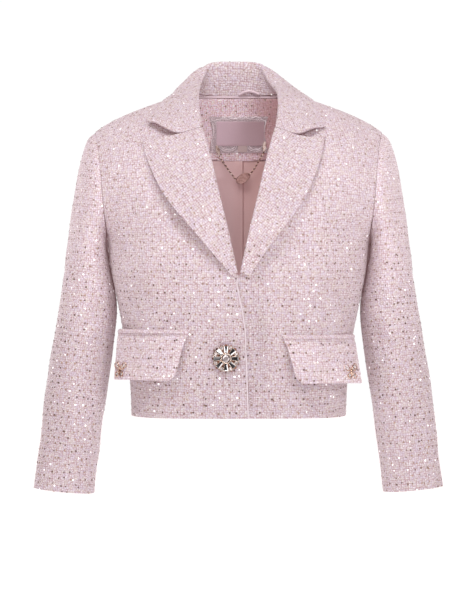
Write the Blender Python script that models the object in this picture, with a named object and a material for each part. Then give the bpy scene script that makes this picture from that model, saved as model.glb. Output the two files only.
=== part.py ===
"""A cropped tweed jacket with a notched collar, filled out as it is worn.

Metres, +Z up. The front faces -Y and the wearer's left is at +X. The origin is between the two
points where the shoulder seams meet the collar, where the wearer carries the jacket. Each cut piece
is a wall of cloth with its own object. "Out" is a distance from the centre line towards a piece's
own side, so one table serves both sides.
"""

import math
from collections import namedtuple

import bmesh
import bpy
import numpy as np
from mathutils import Vector

RIGHT, LEFT = -1, 1
FRONT, BACK = -1, 1
SIDE_NAMES = {RIGHT: "right", LEFT: "left"}


class Table:
    """Rows of named sizes, read between its rows on a smooth curve that never overshoots them."""

    def __init__(self, columns, *rows):
        self.row = namedtuple("Row", columns)
        table = np.array(rows)
        self.keys, self.values = table[:, 0], table[:, 1:]
        slopes = np.diff(self.values, axis=0) / np.diff(self.keys)[:, None]
        before, after = slopes[:-1], slopes[1:]
        agree = before * after > 0
        total = np.where(agree, before + after, 1.0)
        inner = np.where(agree, 2 * before * after / total, 0.0)
        self.tangents = np.vstack([slopes[:1], inner, slopes[-1:]])

    def at(self, key):
        step = int(np.clip(np.searchsorted(self.keys, key) - 1, 0, len(self.keys) - 2))
        width = self.keys[step + 1] - self.keys[step]
        part = (key - self.keys[step]) / width
        start, end = self.values[step], self.values[step + 1]
        leave, arrive = self.tangents[step] * width, self.tangents[step + 1] * width
        if part <= 0:
            values = start + leave * part
        elif part >= 1:
            values = end + arrive * (part - 1)
        else:
            rest = 1 - part
            values = rest * rest * (1 + 2 * part) * start + part * part * (3 - 2 * part) * end
            values += rest * rest * part * leave - part * part * rest * arrive
        return self.row(key, *values)


# --- Cloth ------------------------------------------------------------------------------------
TWEED = 0.0022
FOLDED_TWEED = 0.0024
FLAP_TWEED = 0.0030
FACING = 0.0014
SATIN = 0.0010
RIBBON = 0.0006
GAP = 0.0004
LINING_GAP = 0.0014

# --- The figure that the body is cut for ------------------------------------------------------
HEM = -0.451
UNDERARM = -0.207
TURN_HEIGHT = -0.150
SPINE = 0.010
SEAM_ROOM = 0.0015
BACK_SQUARENESS = 2.35
ROUNDING = {FRONT: 1.6, BACK: 2.0}
NECK_OUT = 0.068
LOW_ROWS = 0.62

TORSO = Table(
    "height half_width front back front_squareness",
    (-0.451, 0.1495, -0.106, 0.094, 2.90),
    (-0.403, 0.1510, -0.108, 0.092, 3.00),
    (-0.360, 0.1560, -0.110, 0.093, 3.00),
    (-0.332, 0.1610, -0.112, 0.095, 3.00),
    (-0.298, 0.1680, -0.114, 0.099, 2.90),
    (-0.250, 0.1780, -0.116, 0.104, 2.70),
    (-0.207, 0.1840, -0.116, 0.107, 2.50),
    (-0.175, 0.2050, -0.115, 0.108, 2.42),
    (-0.150, 0.2200, -0.115, 0.107, 2.37),
    (-0.125, 0.2320, -0.115, 0.106, 2.35),
    (-0.100, 0.2430, -0.115, 0.106, 2.35),
    (-0.070, 0.2500, -0.115, 0.106, 2.35),
    (0.050, 0.2500, -0.115, 0.106, 2.35),
)
SHOULDER = Table(
    "out height",
    (0.000, 0.0340),
    (0.028, 0.0260),
    (0.047, 0.0145),
    (0.060, 0.0050),
    (0.068, 0.0000),
    (0.105, -0.0110),
    (0.135, -0.0215),
    (0.165, -0.0338),
    (0.190, -0.0470),
    (0.201, -0.0550),
)
ARMHOLE = Table(
    "height out",
    (-0.207, 0.1840),
    (-0.200, 0.1825),
    (-0.175, 0.1840),
    (-0.150, 0.1858),
    (-0.130, 0.1875),
    (-0.105, 0.1900),
    (-0.083, 0.1930),
    (-0.068, 0.1960),
    (-0.055, 0.2010),
)

# --- The front edge, then the roll line, then the neck seam; the cloth is set back from it --------
OPENING = Table(
    "height out set_back",
    (-0.451, -0.0123, 0.0000),
    (-0.310, -0.0123, 0.0000),
    (-0.294, -0.0106, 0.0000),
    (-0.280, -0.0072, 0.0000),
    (-0.268, -0.0032, 0.0000),
    (-0.2560, 0.0008, 0.0000),
    (-0.2535, 0.0014, 0.0046),
    (-0.242, 0.0038, 0.0045),
    (-0.205, 0.0118, 0.0045),
    (-0.158, 0.0230, 0.0045),
    (-0.092, 0.0385, 0.0045),
    (-0.062, 0.0470, 0.0045),
    (-0.045, 0.0525, 0.0040),
    (-0.025, 0.0600, 0.0020),
    (-0.010, 0.0652, 0.0010),
    (0.000, 0.0680, 0.0000),
)
FRONT_ROW_HEIGHTS = (
    *(HEM, -0.418, -0.385, -0.350, -0.315, -0.290, -0.272),
    *(-0.2560, -0.2535, -0.235, -0.2135, -0.192, -0.171, TURN_HEIGHT),
)
UNDERLAP = 0.0034
UNDERLAP_OUT = (0.0150, 0.0450)
UNDERLAP_HEIGHT = (-0.262, -0.238)

# --- Lapels: where each row leaves the roll line, crosses its middle and meets its free edge -----
LAPEL_ROLL = 0.0036
LAPEL_COLUMNS = "along roll_height middle_out middle_height edge_out edge_height lift"
LAPELS = {
    RIGHT: Table(
        LAPEL_COLUMNS,
        (0.00, -0.2538, 0.0066, -0.2556, 0.0100, -0.2575, 0.0032),
        (0.15, -0.2220, 0.0235, -0.2245, 0.0385, -0.2235, 0.0075),
        (0.32, -0.1870, 0.0435, -0.1860, 0.0710, -0.1850, 0.0100),
        (0.50, -0.1540, 0.0615, -0.1500, 0.0980, -0.1520, 0.0085),
        (0.68, -0.1220, 0.0740, -0.1160, 0.1165, -0.1170, 0.0060),
        (0.86, -0.0870, 0.0810, -0.0850, 0.1270, -0.0880, 0.0045),
        (1.00, -0.0566, 0.0818, -0.0650, 0.1301, -0.0690, 0.0045),
    ),
    LEFT: Table(
        LAPEL_COLUMNS,
        (0.00, -0.2536, 0.0095, -0.2565, 0.0140, -0.2580, 0.0032),
        (0.15, -0.2220, 0.0225, -0.2270, 0.0370, -0.2240, 0.0055),
        (0.32, -0.1870, 0.0405, -0.1875, 0.0640, -0.1880, 0.0070),
        (0.50, -0.1540, 0.0560, -0.1500, 0.0870, -0.1560, 0.0065),
        (0.68, -0.1220, 0.0680, -0.1170, 0.1030, -0.1190, 0.0055),
        (0.86, -0.0870, 0.0770, -0.0850, 0.1135, -0.0860, 0.0045),
        (1.00, -0.0566, 0.0796, -0.0665, 0.1168, -0.0640, 0.0045),
    ),
}

# --- Collar: its seam, roll, middle and edge, from the centre back to the gorge ------------------
COLLAR_ROLL = 0.0044
COLLAR_LEAN = 0.0055
COLLAR_LEAN_HEIGHTS = (-0.012, 0.030)
COLLAR_SEAM = Table(
    "along out depth height",
    (0.00, 0.0000, 0.0617, 0.0010),
    (0.14, 0.0190, 0.0600, 0.0010),
    (0.27, 0.0360, 0.0530, 0.0010),
    (0.38, 0.0485, 0.0425, 0.0010),
    (0.49, 0.0575, 0.0280, 0.0010),
    (0.58, 0.0622, 0.0150, 0.0010),
    (0.64, 0.0636, 0.0060, 0.0000),
    (0.72, 0.0640, -0.0080, -0.0045),
    (0.80, 0.0634, -0.0215, -0.0105),
    (0.87, 0.0598, -0.0450, -0.0250),
    (0.94, 0.0548, -0.0640, -0.0430),
    (1.00, 0.0520, -0.0765, -0.0553),
)
COLLAR_TOP = Table(
    "along out depth height",
    (0.00, 0.0000, 0.0650, 0.0506),
    (0.14, 0.0185, 0.0640, 0.0506),
    (0.27, 0.0360, 0.0590, 0.0480),
    (0.38, 0.0425, 0.0480, 0.0372),
    (0.49, 0.0465, 0.0310, 0.0205),
    (0.58, 0.0505, 0.0155, 0.0105),
    (0.64, 0.0525, 0.0035, 0.0045),
    (0.72, 0.0541, -0.0130, -0.0025),
    (0.80, 0.0547, -0.0320, -0.0110),
    (0.87, 0.0541, -0.0500, -0.0230),
    (0.94, 0.0523, -0.0670, -0.0390),
    (1.00, 0.0502, -0.0805, -0.0549),
)
COLLAR_MIDDLE_BACK = (
    (0.00, 0.0000, 0.0715, 0.0245),
    (0.14, 0.0245, 0.0705, 0.0255),
    (0.27, 0.0515, 0.0645, 0.0300),
    (0.38, 0.0668, 0.0520, 0.0262),
    (0.49, 0.0750, 0.0360, 0.0188),
    (0.58, 0.0785, 0.0190, 0.0112),
    (0.64, 0.0790, 0.0060, 0.0050),
    (0.72, 0.0810, -0.0120, -0.0025),
    (0.80, 0.0840, -0.0320, -0.0150),
    (0.87, 0.0850, -0.0510, -0.0310),
)
COLLAR_MIDDLE = {
    RIGHT: Table(
        "along out depth height",
        *COLLAR_MIDDLE_BACK,
        (0.94, 0.0840, -0.0672, -0.0475),
        (1.00, 0.0818, -0.0805, -0.0640),
    ),
    LEFT: Table(
        "along out depth height",
        *COLLAR_MIDDLE_BACK,
        (0.94, 0.0825, -0.0680, -0.0485),
        (1.00, 0.0796, -0.0810, -0.0655),
    ),
}
COLLAR_EDGE_BACK = (
    (0.00, 0.0000, 0.0785, -0.0130),
    (0.14, 0.0280, 0.0750, -0.0135),
    (0.27, 0.0560, 0.0640, -0.0150),
    (0.38, 0.0780, 0.0535, -0.0145),
    (0.49, 0.0930, 0.0380, -0.0110),
    (0.58, 0.1005, 0.0180, -0.0062),
    (0.64, 0.1030, 0.0000, -0.0082),
)
COLLAR_EDGE = {
    RIGHT: Table(
        "along out depth height",
        *COLLAR_EDGE_BACK,
        (0.72, 0.1070, -0.0170, -0.0150),
        (0.80, 0.1125, -0.0310, -0.0245),
        (0.87, 0.1180, -0.0415, -0.0335),
        (0.94, 0.1225, -0.0495, -0.0415),
        (1.00, 0.1265, -0.0550, -0.0490),
    ),
    LEFT: Table(
        "along out depth height",
        *COLLAR_EDGE_BACK,
        (0.72, 0.1055, -0.0170, -0.0152),
        (0.80, 0.1090, -0.0320, -0.0250),
        (0.87, 0.1130, -0.0430, -0.0345),
        (0.94, 0.1162, -0.0530, -0.0440),
        (1.00, 0.1190, -0.0602, -0.0525),
    ),
}

# --- Sleeves: the outer and inner lines, and how deep each ring is ---------------------------------
SLEEVE = Table(
    "along outer_out outer_height inner_out inner_height half_depth centre armhole_share",
    (0.00, 0.2018, -0.0553, 0.1850, -0.2075, 0.066, 0.010, 1.00),
    (0.03, 0.2085, -0.0595, 0.1853, -0.2100, 0.066, 0.010, 0.97),
    (0.06, 0.2135, -0.0665, 0.1852, -0.2135, 0.066, 0.010, 0.90),
    (0.10, 0.2185, -0.0810, 0.1849, -0.2200, 0.066, 0.010, 0.75),
    (0.15, 0.2245, -0.1050, 0.1826, -0.2320, 0.066, 0.009, 0.50),
    (0.22, 0.2310, -0.1410, 0.1793, -0.2500, 0.064, 0.008, 0.20),
    (0.30, 0.2370, -0.1830, 0.1742, -0.2740, 0.062, 0.006, 0.00),
    (0.38, 0.2425, -0.2250, 0.1692, -0.3010, 0.060, 0.004, 0.00),
    (0.48, 0.2490, -0.2780, 0.1722, -0.3370, 0.057, 0.001, 0.00),
    (0.60, 0.2583, -0.3420, 0.1785, -0.3850, 0.052, -0.003, 0.00),
    (0.73, 0.2680, -0.4120, 0.1865, -0.4400, 0.046, -0.008, 0.00),
    (0.86, 0.2765, -0.4810, 0.1938, -0.4980, 0.041, -0.012, 0.00),
    (1.00, 0.2855, -0.5510, 0.2008, -0.5590, 0.037, -0.016, 0.00),
)
FRONT_SEAM = math.radians(138)
BACK_SEAM = math.radians(232)
SEAM_PART = 0.004
SLEEVE_GAP = 0.0006
CUFF = {RIGHT: 1.0, LEFT: 0.995}

# --- Pockets ---------------------------------------------------------------------------------------
PocketPlace = namedtuple(
    "PocketPlace", "inner_out outer_angle end_lift height flap_depth flap_slant hem_out hem_depth"
)
POCKETS = {
    RIGHT: PocketPlace(0.0690, math.radians(75), 0.0048, -0.3300, 0.0640, 0.0150, 0.1707, -0.060),
    LEFT: PocketPlace(0.0610, math.radians(72), 0.0015, -0.3370, 0.0608, 0.0130, 0.1676, -0.074),
}
POCKET_END = 0.55
WELT_HEIGHT = 0.0055
WELT_BACK = 0.0026
WELT_PROUD = 0.0034
WELT_THICKNESS = 0.0021
FLAP_WIDTH = 0.1000
FLAP_TOP_LIFT = 0.0036
FLAP_HEM_PROUD = 0.0085
FLAP_HEM_SLOPE = 0.12
FLAP_BEND = 1.2
FLAP_CORNER = 0.0130

# --- Inside the back -------------------------------------------------------------------------------
NECK_FACING_HEIGHT = -0.0890
NECK_FACING_OUT = 0.0840
LINING_HEM = -0.4430
PLEAT_PLACE = 0.0054
PLEAT_WIDTH = 0.0160
PLEAT_DEPTH = 0.0030

# --- Label, loop and chain at the back of the neck -------------------------------------------------
LABEL_BOX = (-0.0321, 0.0385, -0.0662, -0.0317)
LACE_BOX = (-0.0436, 0.0442, -0.0768, -0.0250)
LACE_WAIST = 0.0060
SIZE_TAB_BOX = (-0.0004, 0.0126, -0.0754, -0.0665)
LOOP_START, LOOP_END = 0.0010, 0.0300
LOOP_RISE = 0.0050
LOOP_RADIUS = 0.0021
CHAIN_RADIUS = 0.00135
CHAIN_STAND_OFF = 0.0075
TAG_CENTRE = (0.0070, -0.1138)
TAG_TURN = math.radians(30)
TAG_LENGTH, TAG_WIDTH, TAG_THICKNESS = 0.0235, 0.0125, 0.0012
ChainTab = namedtuple("ChainTab", "x height lean")
CHAIN_TABS = {
    RIGHT: ChainTab(-0.0300, -0.0730, 0.31),
    LEFT: ChainTab(0.0385, -0.0672, -0.14),
}
TAB_HALF_WIDTH, TAB_HALF_LENGTH, TAB_THICKNESS = 0.0030, 0.0080, 0.0012
TAB_DEPTH = TWEED + 1.5 * LINING_GAP + FACING + 2 * (GAP + RIBBON)
# Where each chain meets the tag's rim, how far off it stops, and how straight it comes in.
TAG_JOINS = {RIGHT: math.radians(140), LEFT: math.radians(6)}
JOIN_GAP, JOIN_RUN = 0.0002, 0.0028

# --- Button and butterflies ------------------------------------------------------------------------
BUTTON_OUT, BUTTON_HEIGHT = 0.0172, -0.3696
BUTTON_RADIUS = 0.0180
BUTTON_THICKNESS = 0.0034
BUTTON_CLEARANCE = 0.0020
STONES = 8
SCALLOP = 0.0013
STONE_GAP = 0.0003
Baguette = namedtuple("Baguette", "inner_out outer_out inner_half outer_half height crown")
BAGUETTE = Baguette(0.0072, 0.0170, 0.0017, 0.0030, 0.0024, 0.75)
RoundStone = namedtuple("RoundStone", "out radius height crown corners")
CHATON = RoundStone(0.0152, 0.0023, 0.0024, 0.6, 8)
CENTRE_STONE = RoundStone(0.0, 0.0058, 0.0045, 0.6, 12)
BUTTERFLY_THICKNESS = 0.0014
BUTTERFLY_GAP = 0.0006
# Where each butterfly sits on its flap: how far across it and how far down it.
BUTTERFLY_PLACES = {RIGHT: (0.90, 0.80), LEFT: (0.845, 0.76)}
Wing = namedtuple("Wing", "angle reach")
UPPER_WING = Wing(math.radians(44), 0.0142)
LOWER_WING = Wing(math.radians(-52), 0.0104)
BUTTERFLY_WAIST = 0.0026


def signed_power(value, power):
    return math.copysign(abs(value) ** power, value)


def blend(start, end, part):
    return start + (end - start) * part


def ease(start, end, value):
    """0 before start, 1 after end, and smooth between them."""
    part = min(1.0, max(0.0, (value - start) / (end - start)))
    return part * part * (3 - 2 * part)


def spread(start, end, count):
    return [blend(start, end, i / (count - 1)) for i in range(count)]


def rounded(start, end, count):
    """Values that lie closer together towards both ends."""
    return [blend(start, end, (1 - math.cos(math.pi * i / (count - 1))) / 2) for i in range(count)]


# --- Materials -------------------------------------------------------------------------------------
def make_material(name, colour, roughness, metallic=0.0):
    material = bpy.data.materials.new(name)
    material.use_nodes = True
    shader = material.node_tree.nodes["Principled BSDF"]
    shader.inputs["Base Color"].default_value = (*colour, 1)
    shader.inputs["Roughness"].default_value = roughness
    shader.inputs["Metallic"].default_value = metallic
    material.diffuse_color = (*colour, 1)
    return material


# --- The body's surface ----------------------------------------------------------------------------
def body_depth(face, height):
    row = TORSO.at(height)
    return SPINE - row.front if face == FRONT else row.back - SPINE


def crown(face, out, height):
    """How much of the body's depth is left on the way up to the shoulder seam."""
    if height <= TURN_HEIGHT:
        return 1.0
    power = ROUNDING[face]
    share = (height - TURN_HEIGHT) / (SHOULDER.at(abs(out)).height - TURN_HEIGHT)
    return max(0.0, 1 - share**power) ** (1 / power)


def underlap(side, out, height):
    """How far the left front steps in where the right front lies over it."""
    if side == RIGHT:
        return 0.0
    return (
        UNDERLAP * (1 - ease(*UNDERLAP_OUT, out)) * (1 - ease(*UNDERLAP_HEIGHT, height))
    )


def squareness(face, height):
    return TORSO.at(height).front_squareness if face == FRONT else BACK_SQUARENESS


def body_y(face, side, out, height):
    """The depth of the body's outer face at a place seen from the front or the back."""
    part = min(1.0, abs(out) / TORSO.at(height).half_width)
    power = squareness(face, height)
    across = (1 - part**power) ** (1 / power)
    y = SPINE + face * body_depth(face, height) * across * crown(face, out, height)
    return y + (underlap(side, out, height) if face == FRONT else 0.0)


def row_height(face, out, row):
    """The height of a panel's row. The upper rows lean with the shoulder and crowd towards its seam."""
    if row <= LOW_ROWS:
        return blend(HEM, TURN_HEIGHT, row / LOW_ROWS)
    turn = math.pi / 2 * (row - LOW_ROWS) / (1 - LOW_ROWS)
    top = SHOULDER.at(abs(out)).height
    if face == BACK:
        top = min(top, 0.0)
    return blend(TURN_HEIGHT, top, math.sin(turn) ** (2 / ROUNDING[face]))


def settle(face, row, edge):
    """The place where a row meets an edge whose distance out depends on the height."""
    out = edge(TURN_HEIGHT)
    for _ in range(8):
        out = edge(row_height(face, out, row))
    return out


def side_edge(height):
    return TORSO.at(height).half_width if height < UNDERARM else ARMHOLE.at(height).out


def section_angle(face, out, height):
    part = max(-1.0, min(1.0, out / TORSO.at(height).half_width))
    return math.asin(signed_power(part, squareness(face, height) / 2))


def body_point(face, side, across, row, inner_edge):
    """A point of a panel: across runs from its inner edge to its side, and row from hem to top."""
    ends = []
    for edge in (inner_edge, side_edge):
        out = settle(face, row, edge)
        ends.append(section_angle(face, out, row_height(face, out, row)))
    if row_height(face, out, row) < UNDERARM:
        ends[1] = math.pi / 2
    angle = blend(*ends, across)
    height = row_height(face, 0.1, row)
    for _ in range(6):
        half_width = TORSO.at(height).half_width
        power = 2 / squareness(face, height)
        out = half_width * signed_power(math.sin(angle), power)
        height = row_height(face, out, row)
    depth = body_depth(face, height) * signed_power(math.cos(angle), power)
    depth *= crown(face, out, height)
    if row > 1 and (face == FRONT or abs(out) > NECK_OUT):
        depth = -depth
    y = SPINE + face * depth
    if face == FRONT:
        y += underlap(side, out, height)
    return Vector((side * out, y, height))


# --- Meshes ----------------------------------------------------------------------------------------
def add_object(name, vertices, faces, material):
    mesh = bpy.data.meshes.new(name)
    mesh.from_pydata([tuple(vertex) for vertex in vertices], [], faces)
    shell = bmesh.new()
    shell.from_mesh(mesh)
    bmesh.ops.recalc_face_normals(shell, faces=shell.faces)
    shell.to_mesh(mesh)
    shell.free()
    mesh.materials.append(material)
    mesh.shade_smooth()
    mesh.set_sharp_from_angle(angle=math.radians(50))
    obj = bpy.data.objects.new(name, mesh)
    bpy.context.scene.collection.objects.link(obj)
    return obj


def surface_normal(surface, across, along, step=0.004):
    """The direction square to a surface; at a rim where it turns back, the side before it counts."""
    tangents = []
    for da, db in ((step, 0), (0, step)):
        tangent = surface(across + da, along + db) - surface(across - da, along - db)
        if tangent.length < 1e-6:
            tangent = surface(across, along) - surface(across - 2 * da, along - 2 * db)
        tangents.append(tangent)
    return tangents[0].cross(tangents[1]).normalized()


def wall(name, surface, across, along, thickness, inside, material):
    """A wall of cloth whose outer face follows surface(across, along), away from the point inside."""
    outer = [surface(a, b) for a in across for b in along]
    normals = [surface_normal(surface, a, b) for a in across for b in along]
    columns, rows = len(across), len(along)
    middle = columns // 2 * rows + rows // 2
    outward = math.copysign(1, normals[middle].dot(outer[middle] - Vector(inside)))
    inner = [
        point - outward * thickness * normal for point, normal in zip(outer, normals)
    ]
    layer = len(outer)
    faces = []
    for i in range(columns - 1):
        for j in range(rows - 1):
            quad = [i * rows + j, (i + 1) * rows + j, (i + 1) * rows + j + 1, i * rows + j + 1]
            faces.append(quad)
            faces.append([layer + index for index in reversed(quad)])
    rim = [i * rows for i in range(columns)]
    rim += [(columns - 1) * rows + j for j in range(1, rows)]
    rim += [i * rows + rows - 1 for i in reversed(range(columns - 1))]
    rim += [j for j in reversed(range(1, rows - 1))]
    for start, end in zip(rim, rim[1:] + rim[:1]):
        faces.append([start, end, layer + end, layer + start])
    return add_object(name, outer + inner, faces, material)


def prism(name, outline, place, thickness, material):
    """A plate whose outline of (u, v) points is set by place(u, v, w), from w = 0 up to thickness."""
    count = len(outline)
    vertices = [place(u, v, w) for w in (0, thickness) for u, v in outline]
    faces = [list(range(count)), list(range(count, 2 * count))]
    for start in range(count):
        end = (start + 1) % count
        faces.append([start, end, count + end, count + start])
    return add_object(name, vertices, faces, material)


def tube(name, points, radius, material):
    """A round cord of one radius along smooth points."""
    curve = bpy.data.curves.new(name, "CURVE")
    curve.dimensions = "3D"
    curve.bevel_depth = radius
    curve.bevel_resolution = 2
    curve.use_fill_caps = True
    spline = curve.splines.new("POLY")
    spline.points.add(len(points) - 1)
    for target, point in zip(spline.points, points):
        target.co = (*point, 1)
    curve.materials.append(material)
    obj = bpy.data.objects.new(name, curve)
    bpy.context.scene.collection.objects.link(obj)
    return obj


# --- Body panels -----------------------------------------------------------------------------------
def build_back(tweed):
    def surface(across, row):
        side = LEFT if across >= 0 else RIGHT
        return body_point(BACK, side, abs(across), row, lambda height: 0.0)

    armhole_top = ARMHOLE.at(ARMHOLE.keys[-1])
    neck = section_angle(BACK, NECK_OUT, 0)
    neck /= section_angle(BACK, armhole_top.out, armhole_top.height)
    half = spread(0, neck, 5)[1:] + spread(neck, 1 - SEAM_ROOM, 9)[1:]
    across = [-part for part in reversed(half)] + [0.0] + half
    rows = spread(0, LOW_ROWS, 10) + spread(LOW_ROWS, 1 - SEAM_ROOM, 9)[1:]
    return wall("back", surface, across, rows, TWEED, (0, 0, -0.3), tweed)


def build_front(side, tweed):
    def inner_edge(height):
        row = OPENING.at(height)
        return row.out + row.set_back

    def surface(across, row):
        return body_point(FRONT, side, across, row, inner_edge)

    across = spread(0, 0.2, 4) + spread(0.2, 1 - SEAM_ROOM, 10)[1:]
    rows = [LOW_ROWS * (height - HEM) / (TURN_HEIGHT - HEM) for height in FRONT_ROW_HEIGHTS]
    rows += spread(LOW_ROWS, 1 - SEAM_ROOM, 9)[1:]
    name = f"front_{SIDE_NAMES[side]}"
    return wall(name, surface, across, rows, TWEED, (0, 0, -0.3), tweed)


# --- Sleeves ---------------------------------------------------------------------------------------
def armhole_point(angle):
    """A point of the armhole seam, from 0 at the shoulder, over the front, to half a turn below."""
    face = FRONT if math.sin(angle) >= 0 else BACK
    middle = (ARMHOLE.keys[0] + ARMHOLE.keys[-1]) / 2
    half = (ARMHOLE.keys[-1] - ARMHOLE.keys[0]) / 2
    height = middle + half * math.cos(angle)
    out = ARMHOLE.at(height).out
    return Vector((out, body_y(face, RIGHT, out, height), height))


def sleeve_point(side, angle, along):
    row = SLEEVE.at(along)
    outer = Vector((row.outer_out, 0, row.outer_height))
    inner = Vector((row.inner_out, 0, row.inner_height))
    point = (outer + inner) / 2 + (outer - inner) / 2 * math.cos(angle)
    point.y = row.centre - row.half_depth * math.sin(angle)
    first = SLEEVE.at(0)
    seam = armhole_point(angle)
    straight = blend(first.inner_out, first.outer_out, (1 + math.cos(angle)) / 2)
    point.y = blend(point.y, seam.y, row.armhole_share)
    point.x += (seam.x + SLEEVE_GAP - straight) * row.armhole_share
    return Vector((side * point.x, point.y, point.z))


def build_sleeve(side, part, tweed):
    upper = part == "upper"
    start = BACK_SEAM - 2 * math.pi if upper else FRONT_SEAM
    end = FRONT_SEAM if upper else BACK_SEAM
    angles = spread(start + SEAM_PART, end - SEAM_PART, 14 if upper else 8)
    rows = [0, 0.02, 0.04, 0.06, 0.09, 0.12, 0.16]
    rows += spread(0.21, CUFF[side], 12)

    def surface(angle, along):
        return sleeve_point(side, angle, along)

    middle = SLEEVE.at(rows[len(rows) // 2])
    inside = (
        side * (middle.outer_out + middle.inner_out) / 2,
        middle.centre,
        (middle.outer_height + middle.inner_height) / 2,
    )
    name = f"{part}_sleeve_{SIDE_NAMES[side]}"
    return wall(name, surface, angles, rows, TWEED, inside, tweed)


# --- Lapels and collar -----------------------------------------------------------------------------
def lapel_point(side, across, along):
    """Across: from the front's cut edge, round the roll (up to 0), then to the free edge at 1."""
    row = LAPELS[side].at(along)
    roll_out = OPENING.at(row.roll_height).out
    if across <= 0:
        turn = math.pi * (1 + across)
        out = roll_out + LAPEL_ROLL * (1 - math.sin(turn))
        base = body_y(FRONT, side, roll_out + LAPEL_ROLL, row.roll_height)
        y = base + TWEED - LAPEL_ROLL * (1 - math.cos(turn))
        return Vector((side * out, y, row.roll_height))
    start = (roll_out + LAPEL_ROLL, row.roll_height)
    middle = (row.middle_out, row.middle_height)
    edge = (row.edge_out, row.edge_height)
    if across < 0.5:
        out, height = (blend(a, b, across * 2) for a, b in zip(start, middle))
    else:
        out, height = (blend(a, b, across * 2 - 1) for a, b in zip(middle, edge))
    swell = 2 * LAPEL_ROLL - TWEED
    lift = blend(swell, row.lift, ease(0, 1, across))
    return Vector((side * out, body_y(FRONT, side, out, height) - lift, height))


def build_lapel(side, tweed):
    across = [-1, -0.8, -0.6, -0.4, -0.2, 0] + spread(0, 0.5, 4)[1:] + spread(0.5, 1, 5)[1:]
    along = spread(0, 0.86, 13) + [0.93, 1.0]

    def surface(a, b):
        return lapel_point(side, a, b)

    name = f"lapel_{SIDE_NAMES[side]}"
    return wall(name, surface, across, along, FOLDED_TWEED, (0, 0, -0.15), tweed)


def station(table, side, along):
    """A place on the collar, whose back leans a little to the wearer's right as it rises."""
    row = table.at(along)
    lean = COLLAR_LEAN * ease(*COLLAR_LEAN_HEIGHTS, row.height)
    return Vector((side * row.out - lean, row.depth, row.height))


def collar_point(across, place):
    """Across: from the neck seam (-1) up the stand, over the roll (0), down the fall to its edge (1)."""
    side = LEFT if place >= 0 else RIGHT
    along = abs(place)
    seam = station(COLLAR_SEAM, side, along)
    top = station(COLLAR_TOP, side, along)
    middle = station(COLLAR_MIDDLE[side], side, along)
    edge = station(COLLAR_EDGE[side], side, along)
    to_seam, to_fall = (seam - top).normalized(), (middle - top).normalized()
    up = -(to_seam + to_fall).normalized()
    sideways = (to_fall - to_seam) - (to_fall - to_seam).dot(up) * up
    sideways.normalize()
    radius = blend(COLLAR_ROLL, LAPEL_ROLL, ease(0.6, 1, along))
    centre = top - up * radius
    if -0.4 <= across <= 0.2:
        turn = math.pi * (across + 0.1) / 0.6
        return centre + radius * (sideways * math.sin(turn) + up * math.cos(turn))
    if across < 0:
        return seam.lerp(centre - sideways * radius, (across + 1) / 0.6)
    part = (across - 0.2) / 0.8
    start = centre + sideways * radius
    bow = middle * 2 - (start + edge) / 2
    smooth = start * (1 - part) ** 2 + bow * 2 * part * (1 - part) + edge * part**2
    straight = start.lerp(middle, part * 2) if part < 0.5 else middle.lerp(edge, part * 2 - 1)
    return smooth.lerp(straight, ease(0.85, 1, along))


def build_collar(tweed):
    across = spread(-1, -0.4, 4) + spread(-0.4, 0.2, 6)[1:] + spread(0.2, 1, 7)[1:]
    half = spread(0, 0.87, 12)[1:] + [0.92, 0.96, 0.9995]
    places = [-place for place in reversed(half)] + [0.0] + half
    return wall("collar", collar_point, across, places, FOLDED_TWEED, (0, 0.065, 0.02), tweed)


# --- Pockets ---------------------------------------------------------------------------------------
def pocket_point(side, across, drop, lift):
    """Beside a pocket's mouth: across from its inner end to its outer one, and down below its top."""
    place = POCKETS[side]
    row = TORSO.at(place.height)
    power = row.front_squareness
    reach = SPINE - row.front
    inner = section_angle(FRONT, place.inner_out, place.height)
    angle = blend(inner, place.outer_angle, across)
    out = row.half_width * signed_power(math.sin(angle), 2 / power)
    depth = reach * signed_power(math.cos(angle), 2 / power)
    sideways = signed_power(out / row.half_width, power - 1) / row.half_width
    forwards = signed_power(depth / reach, power - 1) / reach
    square = Vector((sideways, -forwards, 0)).normalized()
    lift += place.end_lift * ease(POCKET_END, 1, across)
    point = Vector((out, SPINE - depth, place.height - drop)) + square * lift
    return Vector((side * point.x, point.y, point.z))


def build_welt(side, tweed):
    def surface(across, drop):
        bulge = math.sqrt(max(0.0, 1 - (2 * drop / WELT_HEIGHT - 1) ** 2))
        return pocket_point(side, across, drop, blend(WELT_BACK, WELT_PROUD, bulge))

    name = f"welt_{SIDE_NAMES[side]}"
    across = spread(-0.012, 1.0, 13)
    drops = spread(0.0002, WELT_HEIGHT, 5)
    return wall(name, surface, across, drops, WELT_THICKNESS, (0, 0, -0.33), tweed)


def flap_hem_point(side, part, height):
    """Where a flap's lower edge hangs: it is flatter than the body and stands off it at its end."""
    place = POCKETS[side]
    width = place.hem_out - place.inner_out
    start = body_y(FRONT, side, place.inner_out, height) - FLAP_HEM_PROUD
    mean_slope = (place.hem_depth - start) / width
    rise = FLAP_HEM_SLOPE * part + (mean_slope - FLAP_HEM_SLOPE) * part**2
    return Vector((side * (place.inner_out + width * part), start + width * rise, height))


def flap_point(side, across, down):
    """Across a flap from its slanted, round-cornered inner edge to its outer one, and down it."""
    place = POCKETS[side]
    corner_start = 1 - FLAP_CORNER / place.flap_depth
    corner = min(1.0, max(0.0, (down - corner_start) / (1 - corner_start)))
    rounding = FLAP_CORNER * (1 - math.sqrt(1 - corner**2))
    inner = (place.flap_slant * down + rounding) / FLAP_WIDTH
    part = blend(inner, 1.0, across)
    drop = WELT_HEIGHT + GAP + place.flap_depth * down
    top = pocket_point(side, part, drop, FLAP_TOP_LIFT)
    return top.lerp(flap_hem_point(side, part, top.z), max(0.0, down) ** FLAP_BEND)


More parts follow.
